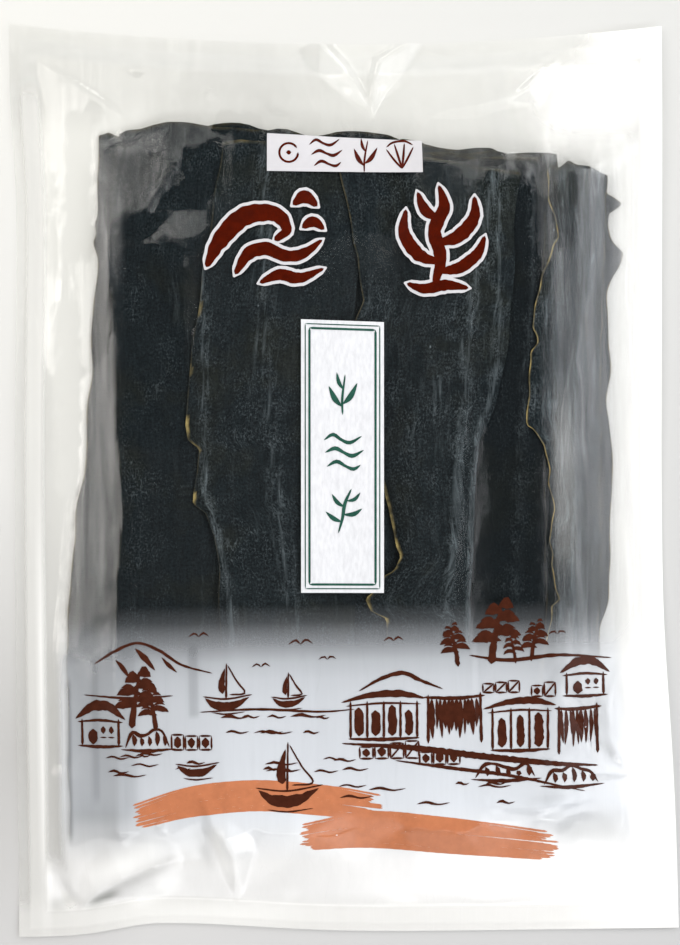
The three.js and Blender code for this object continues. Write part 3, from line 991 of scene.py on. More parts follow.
def crates(x, y, count, size, seed):
    """A row of crates, some of them in the dark."""
    rng = np.random.default_rng(seed)
    strokes = []
    for place in range(count):
        left, high = x + 1.15 * size * place, size * rng.uniform(0.8, 1.3)
        strokes += sketch(
            left, y, size, high,
            [(0, 0, 0.9), (0, 1, 0.8)], [(1, 0, 0.9), (1, 1, 0.8)],
            [(0, 1, 0.9), (1, 1, 0.9)], [(0, 0, 1.0), (1, 0, 1.0)],
        )
        middle = left + 0.5 * size
        if rng.random() < 0.6:
            strokes.append([(middle, y + 0.8, 0.6 * size), (middle, y + high - 0.8, 0.6 * size)])
        else:
            strokes.append([(left, y, 0.8), (left + size, y + high, 0.8)])
    return strokes


def gull(x, y, size):
    """A gull in flight: two wings."""
    return sketch(x, y, size, size, [(-1, 0, 0.25), (-0.4, 0.36, 0.9), (0, 0, 0.5)],
                  [(0, 0, 0.5), (0.45, 0.4, 0.9), (1, 0.05, 0.25)])


def sea(x_from, x_to, y, count, seed):
    """Broken, wavy lines of water."""
    rng = np.random.default_rng(seed)
    strokes = []
    for _ in range(count):
        x = rng.uniform(x_from, x_to)
        level = y + rng.uniform(-5, 5)
        length = rng.uniform(6, 17)
        strokes.append([(x, level, 0.3), (x + 0.3 * length, level + 0.8, rng.uniform(0.8, 1.7)),
                        (x + 0.65 * length, level - 0.3, 0.8), (x + length, level + 0.5, 0.3)])
    return strokes


def rocks(x, y, wide, high, seed):
    """A pile of rocks: an outline, and dark faces on one side."""
    rng = np.random.default_rng(seed)
    peaks = [(x, y, 0.5)]
    for share in np.linspace(0.15, 0.85, 5):
        peaks.append((x + wide * share, y + high * rng.uniform(0.55, 1.0), rng.uniform(1.0, 1.8)))
    peaks.append((x + wide, y + 0.4, 0.5))
    strokes = [peaks, [(x - 2, y - 0.6, 0.4), (x + wide * 0.5, y - 1.4, 1.8), (x + wide + 3, y - 0.4, 0.4)]]
    for px, py, _ in peaks[1:-1]:
        width = wide * rng.uniform(0.08, 0.13)
        strokes.append([(px + 0.6, py - 0.8, 1.0), (px + wide * 0.06, (py + y) / 2, width),
                        (px + wide * 0.05, y + 0.8, 1.0)])
    return strokes


def seaside():
    """The line drawing: hills, pines, rocks, boats, boat sheds, drying racks, waves and gulls by a bay."""
    drawing = [
        # the far shore
        [(-114, -84, 0.5), (-104, -78, 1.3), (-94, -74.5, 1.1), (-84, -78, 1.4), (-74, -84.5, 1.1),
         (-60, -88.5, 0.5)],
        [(-95, -77, 0.6), (-90.5, -81.5, 2.8), (-86, -87, 0.5)],
        [(-104, -82, 0.5), (-100.5, -86, 2.2), (-98, -90, 0.4)],
        [(-83, -81, 0.4), (-80, -84.5, 1.8), (-76, -88, 0.4)],
        [(56, -82, 0.6), (74, -84.5, 1.8), (96, -82.5, 1.5), (121, -84.5, 0.5)],
        [(-66, -106, 0.4), (-40, -105, 1.1), (-12, -106.5, 1.0), (4, -105.6, 0.4)],
        [(-119, -98, 0.4), (-96, -99.5, 1.3), (-78, -98.5, 0.5)],
    ]
    drawing += pine(66, -86, 27, 5) + pine(51, -87, 17, -3) + pine(84, -85, 16, 3) + pine(77, -86, 12, -2)
    drawing += pine(-97, -113, 25, 4) + pine(-86, -114, 18, -3)
    drawing += house(-120, -121, 17, 21) + rocks(-100, -122, 20, 9, 1) + crates(-79, -123, 3, 5.5, 31)
    drawing += boat(-54, -103, 9.5) + boat(-26, -102.5, 7)
    drawing += boat(-27, -146, 13) + boat(-68, -133, 8.5, sail=False)
    drawing += shed(2, -119, 30, 19, 4, 21) + rack(37, -121.5, 24, 22, 12, 4)
    drawing += shed(66, -125, 25, 21, 3, 22) + rack(96, -127.5, 18, 22, 9, 6)
    drawing += crates(6, -128, 4, 6, 32) + crates(33, -131, 3, 5.5, 33)
    drawing += house(100, -101, 17, 18) + crates(62, -99, 3, 5, 34) + crates(84, -101, 2, 5, 35)
    drawing += rocks(58, -137.5, 27, 7, 7) + rocks(89, -141, 25, 9, 8)
    drawing += [
        [(-2, -121, 0.6), (30, -123.4, 2.6), (60, -127.5, 3.0), (90, -131, 2.4), (114, -133, 0.7)],
        [(22, -129, 0.5), (46, -132.6, 1.6), (76, -137, 1.4), (108, -144.5, 0.4)],
        [(6, -97.5, 0.5), (16, -92, 1.6), (26, -89.5, 2.0), (34, -93, 1.6), (44, -97, 0.5)],
    ]
    drawing += sea(-112, 0, -130, 17, 11) + sea(-60, -8, -113, 9, 12) + sea(-10, 70, -145, 8, 13)
    gulls = ((-20, -76, 5.5), (-8, -83, 4), (-38, -86, 4.2), (22, -75, 4.5), (96, -73, 4), (-66, -72, 4.6))
    for x, y, size in gulls:
        drawing += gull(x, y, size)
    return drawing


# ---- Materials ----
class Signal:
    """A socket in a material's node tree that can be reckoned with like a number."""

    def __init__(self, shader, socket):
        self.shader = shader
        self.socket = socket

    def __add__(self, other):
        return self.shader.math("ADD", self, other)

    def __sub__(self, other):
        return self.shader.math("SUBTRACT", self, other)

    def __rsub__(self, other):
        return self.shader.math("SUBTRACT", other, self)

    def __mul__(self, other):
        return self.shader.math("MULTIPLY", self, other)

    def __truediv__(self, other):
        return self.shader.math("DIVIDE", self, other)

    def __pow__(self, other):
        return self.shader.math("POWER", self, other)

    def __abs__(self):
        return self.shader.math("ABSOLUTE", self)

    def or_more(self, other):
        """The higher of the two."""
        return self.shader.math("MAXIMUM", self, other)

    def clamped(self):
        """Held between 0 and 1."""
        self.socket.node.use_clamp = True
        return self

    def ramp(self, low, high, low_out=0.0, high_out=1.0):
        """Mapped from one range onto another, and held within it."""
        inputs = {"Value": self, "From Min": low, "From Max": high, "To Min": low_out, "To Max": high_out}
        return self.shader.node("MapRange", 0, inputs, clamp=True)


class Shader:
    """A material's node tree, with short ways to add and join its nodes."""

    def __init__(self, name):
        self.material = bpy.data.materials.new(name)
        self.material.use_nodes = True
        self.tree = self.material.node_tree
        self.tree.nodes.clear()
        self.output = self.tree.nodes.new("ShaderNodeOutputMaterial")

    def node(self, kind, output=0, inputs=None, **settings):
        """Adds a node, feeds its inputs, and returns one of its outputs."""
        made = self.tree.nodes.new("ShaderNode" + kind)
        for name, value in settings.items():
            setattr(made, name, value)
        for name, value in (inputs or {}).items():
            self.feed(made.inputs[name], value)
        return Signal(self, made.outputs[output])

    def feed(self, socket, value):
        """Joins a signal to a socket, or sets the socket's own value."""
        if isinstance(value, Signal):
            self.tree.links.new(value.socket, socket)
        elif socket.type == "RGBA":
            socket.default_value = (*value, 1.0)
        else:
            socket.default_value = value

    def math(self, operation, *values):
        return self.node("Math", 0, dict(enumerate(values)), operation=operation)

    def mix(self, factor, first, second):
        """A colour between two."""
        return self.node("Mix", 2, {0: factor, 6: first, 7: second}, data_type="RGBA")

    def noise(self, vector, scale, detail, roughness):
        inputs = {"Vector": vector, "Scale": scale, "Detail": detail, "Roughness": roughness}
        return self.node("TexNoise", "Fac", inputs)

    def object_place(self):
        return self.node("TexCoord", "Object")

    def stretched(self, vector, scale):
        return self.node("Mapping", 0, {"Vector": vector, "Scale": scale})

    def attribute(self, name):
        return self.node("Attribute", "Fac", attribute_name=name)

    def bump(self, height, strength, distance, **inputs):
        inputs = {"Height": height, "Strength": strength, "Distance": distance, **inputs}
        return self.node("Bump", 0, inputs)

    def blend(self, factor, first, second):
        """A surface between two."""
        return self.node("MixShader", 0, {0: factor, 1: first, 2: second})

    def principled(self, colour, roughness, specular, **inputs):
        """Finishes the material with one plain surface."""
        inputs = {"Base Color": colour, "Roughness": roughness, "Specular IOR Level": specular, **inputs}
        return self.finish(self.node("BsdfPrincipled", 0, inputs))

    def finish(self, surface):
        self.tree.links.new(surface.socket, self.output.inputs["Surface"])
        return self.material


def kelp_material(colours):
    """Dry kelp: nearly black, with pale bloom in lengthwise streaks and specks, and an ochre rim."""
    shader = Shader("dried_kelp")
    pattern = shader.node("UVMap")

    def drawn_out(lengthwise, scale, detail, roughness, across=1):
        return shader.noise(shader.stretched(pattern, (across, lengthwise, 1)), scale, detail, roughness)

    fibres = drawn_out(0.09, 700, 4, 0.7)
    streaks = drawn_out(0.1, 260, 5, 0.7)
    broad = drawn_out(0.25, 45, 4, 0.6)
    clouds = shader.noise(pattern, 38, 6, 0.7)
    grain = drawn_out(0.7, 1150, 3, 0.75)
    weave = drawn_out(1, 1000, 3, 0.7, across=0.3)
    mottle = drawn_out(0.5, 170, 5, 0.75)
    # Where a blade has pale bloom from its attribute, the bloom also stands in for painted sheen, on the
    # ridges and on the right blade.
    dust_and_sheen = shader.attribute("dust_and_sheen")

    fine = (grain * 0.45 + weave * 0.3 + fibres * 0.25).ramp(0.41, 0.59)
    tone = shader.mix(fine, colours.kelp, colours.kelp_light)
    olive = shader.noise(pattern, 21, 4, 0.65).ramp(0.5, 0.62, 0, 0.8) * fine.ramp(0, 1, 0.25, 1)
    tone = shader.mix(olive, tone, colours.kelp_olive)

    patch = broad.ramp(0.5, 0.68, 0, 0.8).or_more(dust_and_sheen)
    bloom = streaks.ramp(0.52, 0.72) * fibres.ramp(0.4, 0.64) * patch * dust_and_sheen.ramp(0.2, 1, 0.5, 0.9)
    bloom += mottle.ramp(0.44, 0.66) * grain.ramp(0.42, 0.62) * dust_and_sheen.ramp(0, 1, 0.03, 0.4)
    bloom = bloom.or_more(dust_and_sheen.ramp(0.8, 1) * fibres.ramp(0.38, 0.62, 0, 0.3))
    bloom += grain.ramp(0.52, 0.68) * clouds.ramp(0.48, 0.62) * 0.22
    scratches = abs(drawn_out(0.3, 75, 3, 0.55) - 0.52).ramp(0.006, 0.0015)
    bloom += scratches * clouds.ramp(0.5, 0.6) * 0.16
    specks = {"Vector": shader.stretched(pattern, (1, 0.7, 1)), "Scale": 330}
    from_speck = shader.node("TexVoronoi", "Distance", specks)
    speck_tone = Signal(shader, from_speck.socket.node.outputs["Color"])
    salt = from_speck.ramp(0.17, 0.08) * speck_tone.ramp(0.89, 0.96) * mottle.ramp(0.42, 0.6, 0.15, 1)
    bloom = (bloom + salt * 0.95).clamped()
    tone = shader.mix(bloom, tone, colours.bloom)
    # A blade's shade darkens it towards the darkest kelp: painted shade on the blade deep in the gap at the
    # right.
    tone = shader.mix(shader.attribute("shade"), tone, colours.kelp)
    broken = shader.noise(pattern, 110, 2, 0.6).ramp(0.42, 0.6, 0.25, 1)
    tone = shader.mix((shader.attribute("rim") * broken).clamped(), tone, colours.kelp_rim)

    relief = shader.bump(streaks + fine * 0.3, 0.6, 0.0006)
    relief = shader.bump(broad, 0.5, 0.003, Normal=relief)
    return shader.principled(tone, clouds.ramp(0.3, 0.7, 0.55, 0.75), 0.07, Normal=relief)


CLEAR, CLEAR_AT_TOP = (0.99, 0.99, 0.984), (0.955, 0.955, 0.95)  # what the clear film lets through
WHITE, LIT_FOLD = (1, 1, 1), (0.93, 0.93, 0.92)
GLOSS, GLOSS_AT_EDGE = 0.054, 0.92  # of the film seen straight on, and how much more seen along it
GLOSS_BLUR = (0.13, 0.5)  # on the film, and on the weld
WELD_COVER = 0.65
BACKLIGHT = 0.15  # the share of light that comes through the white ink and the milky film
SHADOW_COVER = 0.45  # the share of their shadow that falls


def film_material(colours):
    """Clear film: seen through, with gloss that grows towards the edge of sight, and white ink below."""
    shader = Shader("clear_film")
    place = shader.object_place()
    weld, veil, painted_glare, touch = (shader.attribute(name) for name in ("weld", "veil", "painted_glare", "touch"))
    across, along = (shader.node("SeparateXYZ", axis, {"Vector": place}) for axis in "XY")
    shadow = shader.node("LightPath", "Is Shadow Ray")

    def drawn_out(lengthwise, scale, detail, roughness):
        return shader.noise(shader.stretched(place, (1, lengthwise, 1)), scale, detail, roughness)

    pressed = drawn_out(0.1, 420, 4, 0.7)
    height = shader.noise(place, 90, 3, 0.5) * 0.5 + shader.noise(place, 900, 2, 0.5) * weld * 0.2
    height += pressed * touch * 0.6
    height += shader.noise(place, 330, 4, 0.65) * shader.attribute("crinkle")
    normal = shader.bump(height, 0.25, 0.001)

    facing = shader.node("LayerWeight", "Facing", {"Blend": 0.5, "Normal": normal})
    sheen = (facing**5.0 * GLOSS_AT_EDGE + GLOSS).clamped()
    sheen *= (shader.attribute("sheen") + (drawn_out(0.5, 420, 4, 0.7) - 0.5)).ramp(0.32, 0.68)
    sheen *= 1.0 - pressed.ramp(0.36, 0.66, 0.38, 0) * touch
    sheen *= drawn_out(0.05, 170, 5, 0.7).ramp(0.36, 0.62, 0.55, 1.15)
    sheen *= abs(drawn_out(0.08, 60, 2, 0.5) - 0.5).ramp(0.009, 0.002, 1, 1.4)
    sheen *= 1.0 - shadow

    # Painted light and shade in the white tint: the weld and the pouch darker at the left, the ink darker at
    # the right where the light is stronger, painted glare as a milk-white cover, and folds with painted
    # light and shade.
    plain = weld.ramp(0, 0.2).or_more(painted_glare.ramp(0, 0.1)).or_more(along.ramp(-0.150, -0.175))
    milky_painted_light = shader.mix(across.ramp(-0.10, 0.14), colours.weld_left_shaded, colours.weld)
    above_weld = along.ramp(-0.197, -0.190) * weld.ramp(0.2, 0) * along.ramp(-0.150, -0.175)
    pouch = shader.mix(across.ramp(-0.02, 0.04), colours.pouch_left_shaded, colours.pouch)
    milky_painted_light = shader.mix(above_weld, milky_painted_light, pouch)
    inked = shader.mix(across.ramp(0.05, 0.115), colours.veil_ink, colours.veil_right_shaded)
    tint = shader.mix(plain, inked, milky_painted_light)
    tint = shader.mix(shader.attribute("light"), tint, LIT_FOLD)
    tint = shader.mix(shader.attribute("dim"), tint, colours.fold_shade)
    lit = shader.node("BsdfDiffuse", 0, {"Color": tint})
    through = shader.node("BsdfTranslucent", 0, {"Color": tint})
    milk = shader.blend(BACKLIGHT, lit, through)

    at_top = along.ramp(0.156, 0.174) * across.ramp(0.01, -0.03)
    clear = shader.node("BsdfTransparent", 0, {"Color": shader.mix(at_top, CLEAR, CLEAR_AT_TOP)})
    gloss_inputs = {"Color": WHITE, "Roughness": weld.ramp(0, 1, *GLOSS_BLUR), "Normal": normal}
    gloss = shader.node("BsdfGlossy", 0, gloss_inputs)
    bare = (1.0 - weld * WELD_COVER) * (1.0 - veil) * (1.0 - painted_glare)
    cover = (1.0 - bare).or_more(0.001) * shadow.ramp(0, 1, 1, SHADOW_COVER)
    return shader.finish(shader.blend(sheen, shader.blend(cover, clear, milk), gloss))


def paper_material(colours):
    """Soft white paper with long fibres in it."""
    shader = Shader("label_paper")
    place = shader.object_place()
    fibres = shader.noise(shader.stretched(place, (1, 0.3, 1)), 700, 4, 0.65)
    clouds = shader.noise(place, 120, 3, 0.5)
    tone = shader.mix(fibres.ramp(0.4, 0.7), colours.paper, colours.paper_fibre)
    tone = shader.mix(clouds.ramp(0.45, 0.8, 0, 0.3), tone, colours.paper_fibre)
    relief = shader.bump(fibres, 0.3, 0.0003)
    return shader.principled(tone, clouds.ramp(0.3, 0.7, 0.65, 0.8), 0.5, Normal=relief)


def ink_material(name, colour, unevenness=0.25, clear=0.0, gloss=0.08):
    """Ink on the film: a little uneven, glossy, and seen through by a share."""
    shader = Shader(name)
    clouds = shader.noise(shader.object_place(), 250, 3, 0.6)
    darker = tuple(channel * (1 - unevenness) for channel in colour)
    tone = shader.mix(clouds.ramp(0.35, 0.65), colour, darker)
    relief = shader.bump(clouds, 0.1, 0.0002)
    return shader.principled(tone, clouds.ramp(0.3, 0.7, 0.12, 0.18), gloss, Alpha=1 - clear, Normal=relief)


FLOOR_SIZE = 12
FLOOR_ACROSS, FLOOR_ALONG = (-0.2, 0.2), (-0.25, 0.25)  # metres over which the floor's tone changes
SHADE_PLACE, SHADE_REACH = (-0.15, -0.125), (0.045, 0.075)  # metres, of the shade at the bag's lower left
SHADE_END = 1.7  # the shade fades out at this many times its reach
FLOOR_FADE = (0.6, 2.0)  # metres from the bag over which the floor comes to glow like the backdrop


def floor_material(colours):
    """Pale studio paper with painted light and shade: lighter at the back and the left, a painted shadow at
    the bag's lower left, and far off a painted glow like the backdrop's.
    """
    shader = Shader("studio_floor")
    place = shader.object_place()
    clouds = shader.noise(place, 3, 2, 0.5)
    x, y = (shader.node("SeparateXYZ", axis, {"Vector": place}) for axis in "XY")
    to_right = x.ramp(*FLOOR_ACROSS)
    back = (y.ramp(*FLOOR_ALONG) + clouds.ramp(0.3, 0.7, -0.05, 0.05)).clamped()
    front_tone = shader.mix(to_right, colours.floor_left, colours.floor_right)
    back_tone = shader.mix(to_right, colours.floor_back_left, colours.floor_back_right)
    tone = shader.mix(back, front_tone, back_tone)
    aside, ahead = (
        ((axis - middle) / reach) ** 2.0 for axis, middle, reach in zip((x, y), SHADE_PLACE, SHADE_REACH)
    )
    shade = shader.math("SQRT", aside + ahead).ramp(SHADE_END, 0, 0, 0.28)
    tone = shader.mix(shade, tone, colours.floor_shade)
    distance = shader.node("VectorMath", "Value", {0: place}, operation="LENGTH")
    glow = {"Emission Color": colours.floor_back_left, "Emission Strength": distance.ramp(*FLOOR_FADE)}
    return shader.principled(tone, 0.9, 0.2, **glow)


# ---- Sizes and colours that a user may change ----
def colour_property(name, description, default):
    return FloatVectorProperty(
        name=name, description=description, default=default, subtype="COLOR", size=3, min=0, max=1
    )


def length_property(name, description, default):
    return FloatProperty(name=name, description=description, default=default, unit="LENGTH", min=0)


class KelpBagSizes(PropertyGroup):
    """How finely and how thick the pieces are made."""

    blade_thickness: length_property("Blade thickness", "Thickness of a blade at its middle", 1.25 * MM)
    blade_columns: IntProperty(name="Blade columns", description="Faces across a blade", default=30, min=8)
    blade_rows: IntProperty(name="Blade rows", description="Faces along a blade", default=190, min=20)
    film_pitch: length_property("Film pitch", "Size of a face of the front film", 1.45 * MM)
    back_pitch: length_property("Back pitch", "Size of a face of the back film", 3.6 * MM)
    weld_gap: length_property("Weld gap", "Thickness of the two films together", 0.25 * MM)
    label_gap: length_property("Label gap", "How far the label lies over the film", 0.12 * MM)
    label_thickness: length_property("Label thickness", "Thickness of the paper", 0.16 * MM)


class KelpBagColours(PropertyGroup):
    """The colours of the pieces."""

    kelp: colour_property("Kelp", "The darkest kelp", (0.0012, 0.0026, 0.0036))
    kelp_light: colour_property("Light kelp", "Kelp where it is paler", (0.0078, 0.0128, 0.0152))
    kelp_olive: colour_property("Olive kelp", "Kelp where it is browner", (0.0088, 0.0100, 0.0062))
    kelp_rim: colour_property("Kelp rim", "The thin edge of a blade", (0.40, 0.31, 0.12))
    bloom: colour_property("Bloom", "The pale dust on the blades", (0.18, 0.215, 0.235))
    white_ink: colour_property("White ink", "The box and the motifs' outline", (0.51, 0.50, 0.52))
    # The veil ink's right copy and the weld's and the pouch's left copies are darker: painted shade against
    # stronger light at the right and weaker light at the left.
    veil_ink: colour_property("Veil ink", "The white print at the bag's lower end", (0.75, 0.78, 0.83))
    veil_right_shaded: colour_property("Veil ink, right", "The white print at its right end", (0.655, 0.675, 0.71))
    weld: colour_property("Weld", "The milky welded margin", (0.80, 0.795, 0.785))
    weld_left_shaded: colour_property("Weld, left", "The milky margin at the left", (0.65, 0.645, 0.63))
    pouch: colour_property("Pouch", "The film below the kelp", (0.90, 0.895, 0.895))
    pouch_left_shaded: colour_property("Pouch, left", "The film below the kelp's left", (0.755, 0.75, 0.745))
    fold_shade: colour_property("Fold shade", "The film in the shade of a fold", (0.12, 0.125, 0.11))
    red_ink: colour_property("Red-brown ink", "The two large motifs", (0.064, 0.0055, 0.0015))
    brown_ink: colour_property("Brown ink", "The line drawing", (0.054, 0.015, 0.008))
    orange_ink: colour_property("Orange ink", "The brushed bands", (0.55, 0.20, 0.095))
    green_ink: colour_property("Green ink", "The print of the label", (0.022, 0.082, 0.06))
    paper: colour_property("Paper", "The label's paper", (0.62, 0.625, 0.65))
    paper_fibre: colour_property("Paper fibre", "The label's fibres", (0.53, 0.535, 0.56))
    # The floor's four tones are painted light, lighter at the back and the left, and the floor shade is a
    # painted shadow.
    floor_left: colour_property("Floor, front left", "The floor before its left", (0.51, 0.505, 0.505))
    floor_right: colour_property("Floor, front right", "The floor before its right", (0.43, 0.43, 0.435))
    floor_back_left: colour_property("Floor, back left", "The floor behind its left", (0.615, 0.61, 0.585))
    floor_back_right: colour_property("Floor, back right", "The floor behind its right", (0.52, 0.52, 0.51))
    floor_shade: colour_property("Floor shade", "A soft brownish shade at the left", (0.05, 0.04, 0.03))


class KelpBagStage(PropertyGroup):
    """The camera and the lights."""

    lean: FloatProperty(
        name="Lean", description="Turn of the bag in view", default=math.radians(0.85), subtype="ANGLE"
    )
    camera_height: length_property("Camera height", "Height of the camera over the table", 1.3)
    view_height: length_property("View height", "Height of the picture on the table", 0.4321)


def sizes_of(context):
    return context.scene.kelp_bag_sizes


def colours_of(context):
    return context.scene.kelp_bag_colours


# ---- Operators ----
class KELPBAG_OT_blades(Operator):
    """Lay the kelp blades on each other, from the lowest to the highest"""

    bl_idname = "kelpbag.blades"
    bl_label = "Kelp blades"

    def execute(self, context):
        material = kelp_material(colours_of(context))
        height = np.full(GRID_X.shape, TABLE_CLEARANCE)
        for number, spec in enumerate(BLADES):
            piece, height = build_blade(number, spec, height, sizes_of(context), material)
            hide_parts("bag")
        stack["kelp"] = height
        return {"FINISHED"}


class KELPBAG_OT_film(Operator):
    """Stretch the film over the blades and weld it all round"""

    bl_idname = "kelpbag.film"
    bl_label = "Film"

    def execute(self, context):
        if "kelp" not in stack:
            raise RuntimeError("the film needs the kelp blades first")
        sizes = sizes_of(context)
        self.stretch(sizes.weld_gap / MM)

        front, x, y = self.sheet("film_bag", sizes.film_pitch / MM)
        put_corners(front, x, y, film_height(x, y))
        self.mark(front, x, y, printed=1.0)

        back, x, y = self.sheet("film_back", sizes.back_pitch / MM)
        inside = from_weld(x, y)
        run = 1 - smoothstep(inside, 0, UNDERSIDE_RUN)
        margin = margin_height(x, y)
        height = np.where(inside < 0, margin + crease_height(x, y), margin * run)
        put_corners(back, x, y, height + BACK_LIFT)
        self.mark(back, x, y, printed=0.0)
        select_only(back)
        bpy.ops.object.mode_set(mode="EDIT")
        bpy.ops.mesh.select_all(action="SELECT")
        bpy.ops.mesh.flip_normals()
        bpy.ops.object.mode_set(mode="OBJECT")

        select_only(front)
        back.select_set(True)
        bpy.ops.object.join()
        bpy.ops.object.mode_set(mode="EDIT")
        bpy.ops.mesh.select_mode(type="EDGE")
        bpy.ops.mesh.select_all(action="DESELECT")
        bpy.ops.mesh.select_non_manifold()
        bpy.ops.mesh.bridge_edge_loops()
        bpy.ops.mesh.select_all(action="SELECT")
        bpy.ops.mesh.normals_make_consistent(inside=False)
        bpy.ops.object.mode_set(mode="OBJECT")
        finish_piece(front, film_material(colours_of(context)))
        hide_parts("bag")
        return {"FINISHED"}

    @staticmethod
    def stretch(weld_gap):
        """Lays the front film over the stack, taut between the welds, and keeps its height."""
        margin = margin_height(GRID_X, GRID_Y)
        floor = np.maximum(softened(widened(stack["kelp"], 2), 2), stack["kelp"]) + FILM_CLEARANCE
        upper_band, lower_band = CLING_ALONG
        cling = smoothstep(CLINGING_LEFT(GRID_Y) - GRID_X, 0, 3)
        cling = cling * (1 - smoothstep(GRID_Y, *upper_band)) * smoothstep(GRID_Y, *lower_band)
        clinging = HIGHEST * (1 - cling) + (margin + CLING_HEIGHT) * cling
        ceiling = np.where(cling > 0, clinging, HIGHEST)
        held = from_weld(GRID_X, GRID_Y) < 0
        film = taut_film(floor, np.maximum(ceiling, floor), held, margin + weld_gap)
        stack["film"] = np.where(held, film, np.maximum(softened(film, FILM_SOFTNESS), floor))

    @staticmethod
    def sheet(name, pitch):
        """A grid with the bag's outline, and the places of its points."""
        piece = add_grid(name, round(BAG_WIDTH / pitch), round(BAG_LENGTH / pitch))
        u, v = corners(piece)[:, :2].T + 0.5
        return piece, *film_places(u, v)

    @staticmethod
    def mark(piece, x, y, printed):
        """Paints where the film is welded, lit, dull, inked, shaded and crinkled, with painted light on the
        weld and painted glare as a milk-white cover.
        """
        inside = from_weld(x, y)
        # The weld's whiteness carries painted light: more at the right and at the lower end, less at the
        # left and at the top.
        to_right, lower = smoothstep(x, *RIGHT_BAND), smoothstep(y, *LOWER_BAND)
        to_left = 1 - smoothstep(x, *LEFT_BAND)
        flange = np.maximum(FLANGE_COVER, np.maximum(to_right, LOWER_PAINTED_LIGHT * lower))
        painted_weld_light = (1 + RIGHT_PAINTED_LIGHT * to_right) * (1 - LEFT_PAINTED_SHADE * to_left * (1 - lower))
        stripe = flange + (1 - flange) * smoothstep(inside, *WELD_STRIPE)
        band = (1 - smoothstep(inside, *WELD_EDGE)) * stripe
        weld = painted_weld_light * band * (1 - UPPER_PAINTED_SHADE * smoothstep(y, *UPPER_BAND) * (1 - to_right))

        # Painted glare, as a milk-white cover: at the upper right corner, beside the right weld, and on
        # spots and facets, which are also painted as lit.
        corner_across, corner_along = CORNER_BANDS
        corner = CORNER_GLARE * smoothstep(x, *corner_across) * smoothstep(y, *corner_along)
        beside_weld = RIGHT_GLARE * to_right * (1 - smoothstep(inside, 0, GLARE_REACH))
        painted_glare = np.maximum(corner, beside_weld) * smoothstep(inside, *WELD_EDGE)
        milky_painted_light = printed * np.maximum(facets(PAINTED_GLARE_FACETS, x, y), spots(PAINTED_GLARE_SPOTS, x, y, 0.2))

        ragged_x = x + RAGGED * swells(61, 6, 3, 11)(x, y)
        ragged_y = y + RAGGED * swells(62, 6, 3, 11)(x, y)
        dull = np.maximum(spots(DULL_FILM, ragged_x, ragged_y), facets(DULL_FACETS, ragged_x, ragged_y))

        veil = np.interp(-y, *zip(*VEIL)) * smoothstep(inside, *VEIL_EDGE)
        veil = veil * np.maximum(smoothstep(x, *VEIL_LEFT), smoothstep(y, *VEIL_BOTTOM))
        veil = veil * (1 - spots(THIN_VEIL, x, y))
        left = (1 - smoothstep(x, *THINNER_ACROSS)) * (1 - smoothstep(y, *THINNER_ALONG))
        veil = veil * (1 - THINNER_VEIL * left)

        gap = sampled(stack["film"], x, y) - sampled(stack["kelp"], x, y)
        crinkle = np.zeros_like(y)
        for place_x, place_y, reach, strength in CRINKLES:
            near = np.clip(1 - ((x - place_x) ** 2 + (y - place_y) ** 2) / reach**2, 0, 1)
            crinkle = np.maximum(crinkle, strength * near)

        marks = {
            "weld": weld,
            "painted_glare": np.maximum(painted_glare, milky_painted_light),
            "light": np.maximum(spots(FOLD_LIGHTS, x, y, 0.2, 2), np.clip(8 * milky_painted_light, 0, 1)),
            "sheen": (1 - dull) * printed + BACK_SHEEN * (1 - printed),
            "veil": veil * printed,
            "dim": spots(FOLD_SHADES, x, y, 0.2, 2) * printed,
            "touch": (1 - smoothstep(gap, *TOUCHING)) * printed,
            "crinkle": crinkle * printed,
        }
        for name, values in marks.items():
            give_attribute(piece, name, values)


def print_strokes(name, strokes, lift, material, widen=0.0, rough=0.0, step=STROKE_STEP):
    """Draws the strokes on the film, each a hair above the last so that none share a face."""
    pieces = []
    for number, stroke in enumerate(strokes):
        above = lift + STROKE_LIFT * (number % STROKE_LEVELS)
        pieces.append(ribbon(f"stroke_{number}", stroke, above, widen, step, rough, seed=500 + number))
    return join_print(pieces, name, INK_THICKNESS * MM, material)


class KELPBAG_OT_label(Operator):
    """Lay the paper label on the film and print it in green"""

    bl_idname = "kelpbag.label"
    bl_label = "Label"

    def execute(self, context):
        if "film" not in stack:
            raise RuntimeError("the label needs the film first")
        colours = colours_of(context)
        gap, thickness = sizes_of(context).label_gap / MM, sizes_of(context).label_thickness
        paper = plate("front_label_paper", *LABEL_CORNERS, gap)
        material = paper_material(colours)
        paper = join_print([paper], "front_label_paper", thickness, material)
        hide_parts("front_label")

        above = gap + thickness / MM + LABEL_PRINT_LIFT
        green = ink_material("green_ink", colours.green_ink)
        strokes = []
        wide = math.dist(LABEL_CORNERS[0], LABEL_CORNERS[1])
        high = math.dist(LABEL_CORNERS[0], LABEL_CORNERS[2])
        for inset, width in LABEL_BORDERS:
            s, t = inset / wide, inset / high
            shares = ((s, t), (1 - s, t), (1 - s, 1 - t), (s, 1 - t))
            ring = [within(*LABEL_CORNERS, *share) for share in shares]
            for start, end in zip(ring, ring[1:] + ring[:1]):
                strokes.append([(*start, width), (*end, width)])
        for motif, y in LABEL_MOTIFS:
            strokes += moved(motif, LABEL_MIDDLE, y, LABEL_SCALE, LABEL_TURN)
        print_strokes("front_label_print", strokes, above, green, step=LABEL_STEP)
        return {"FINISHED"}


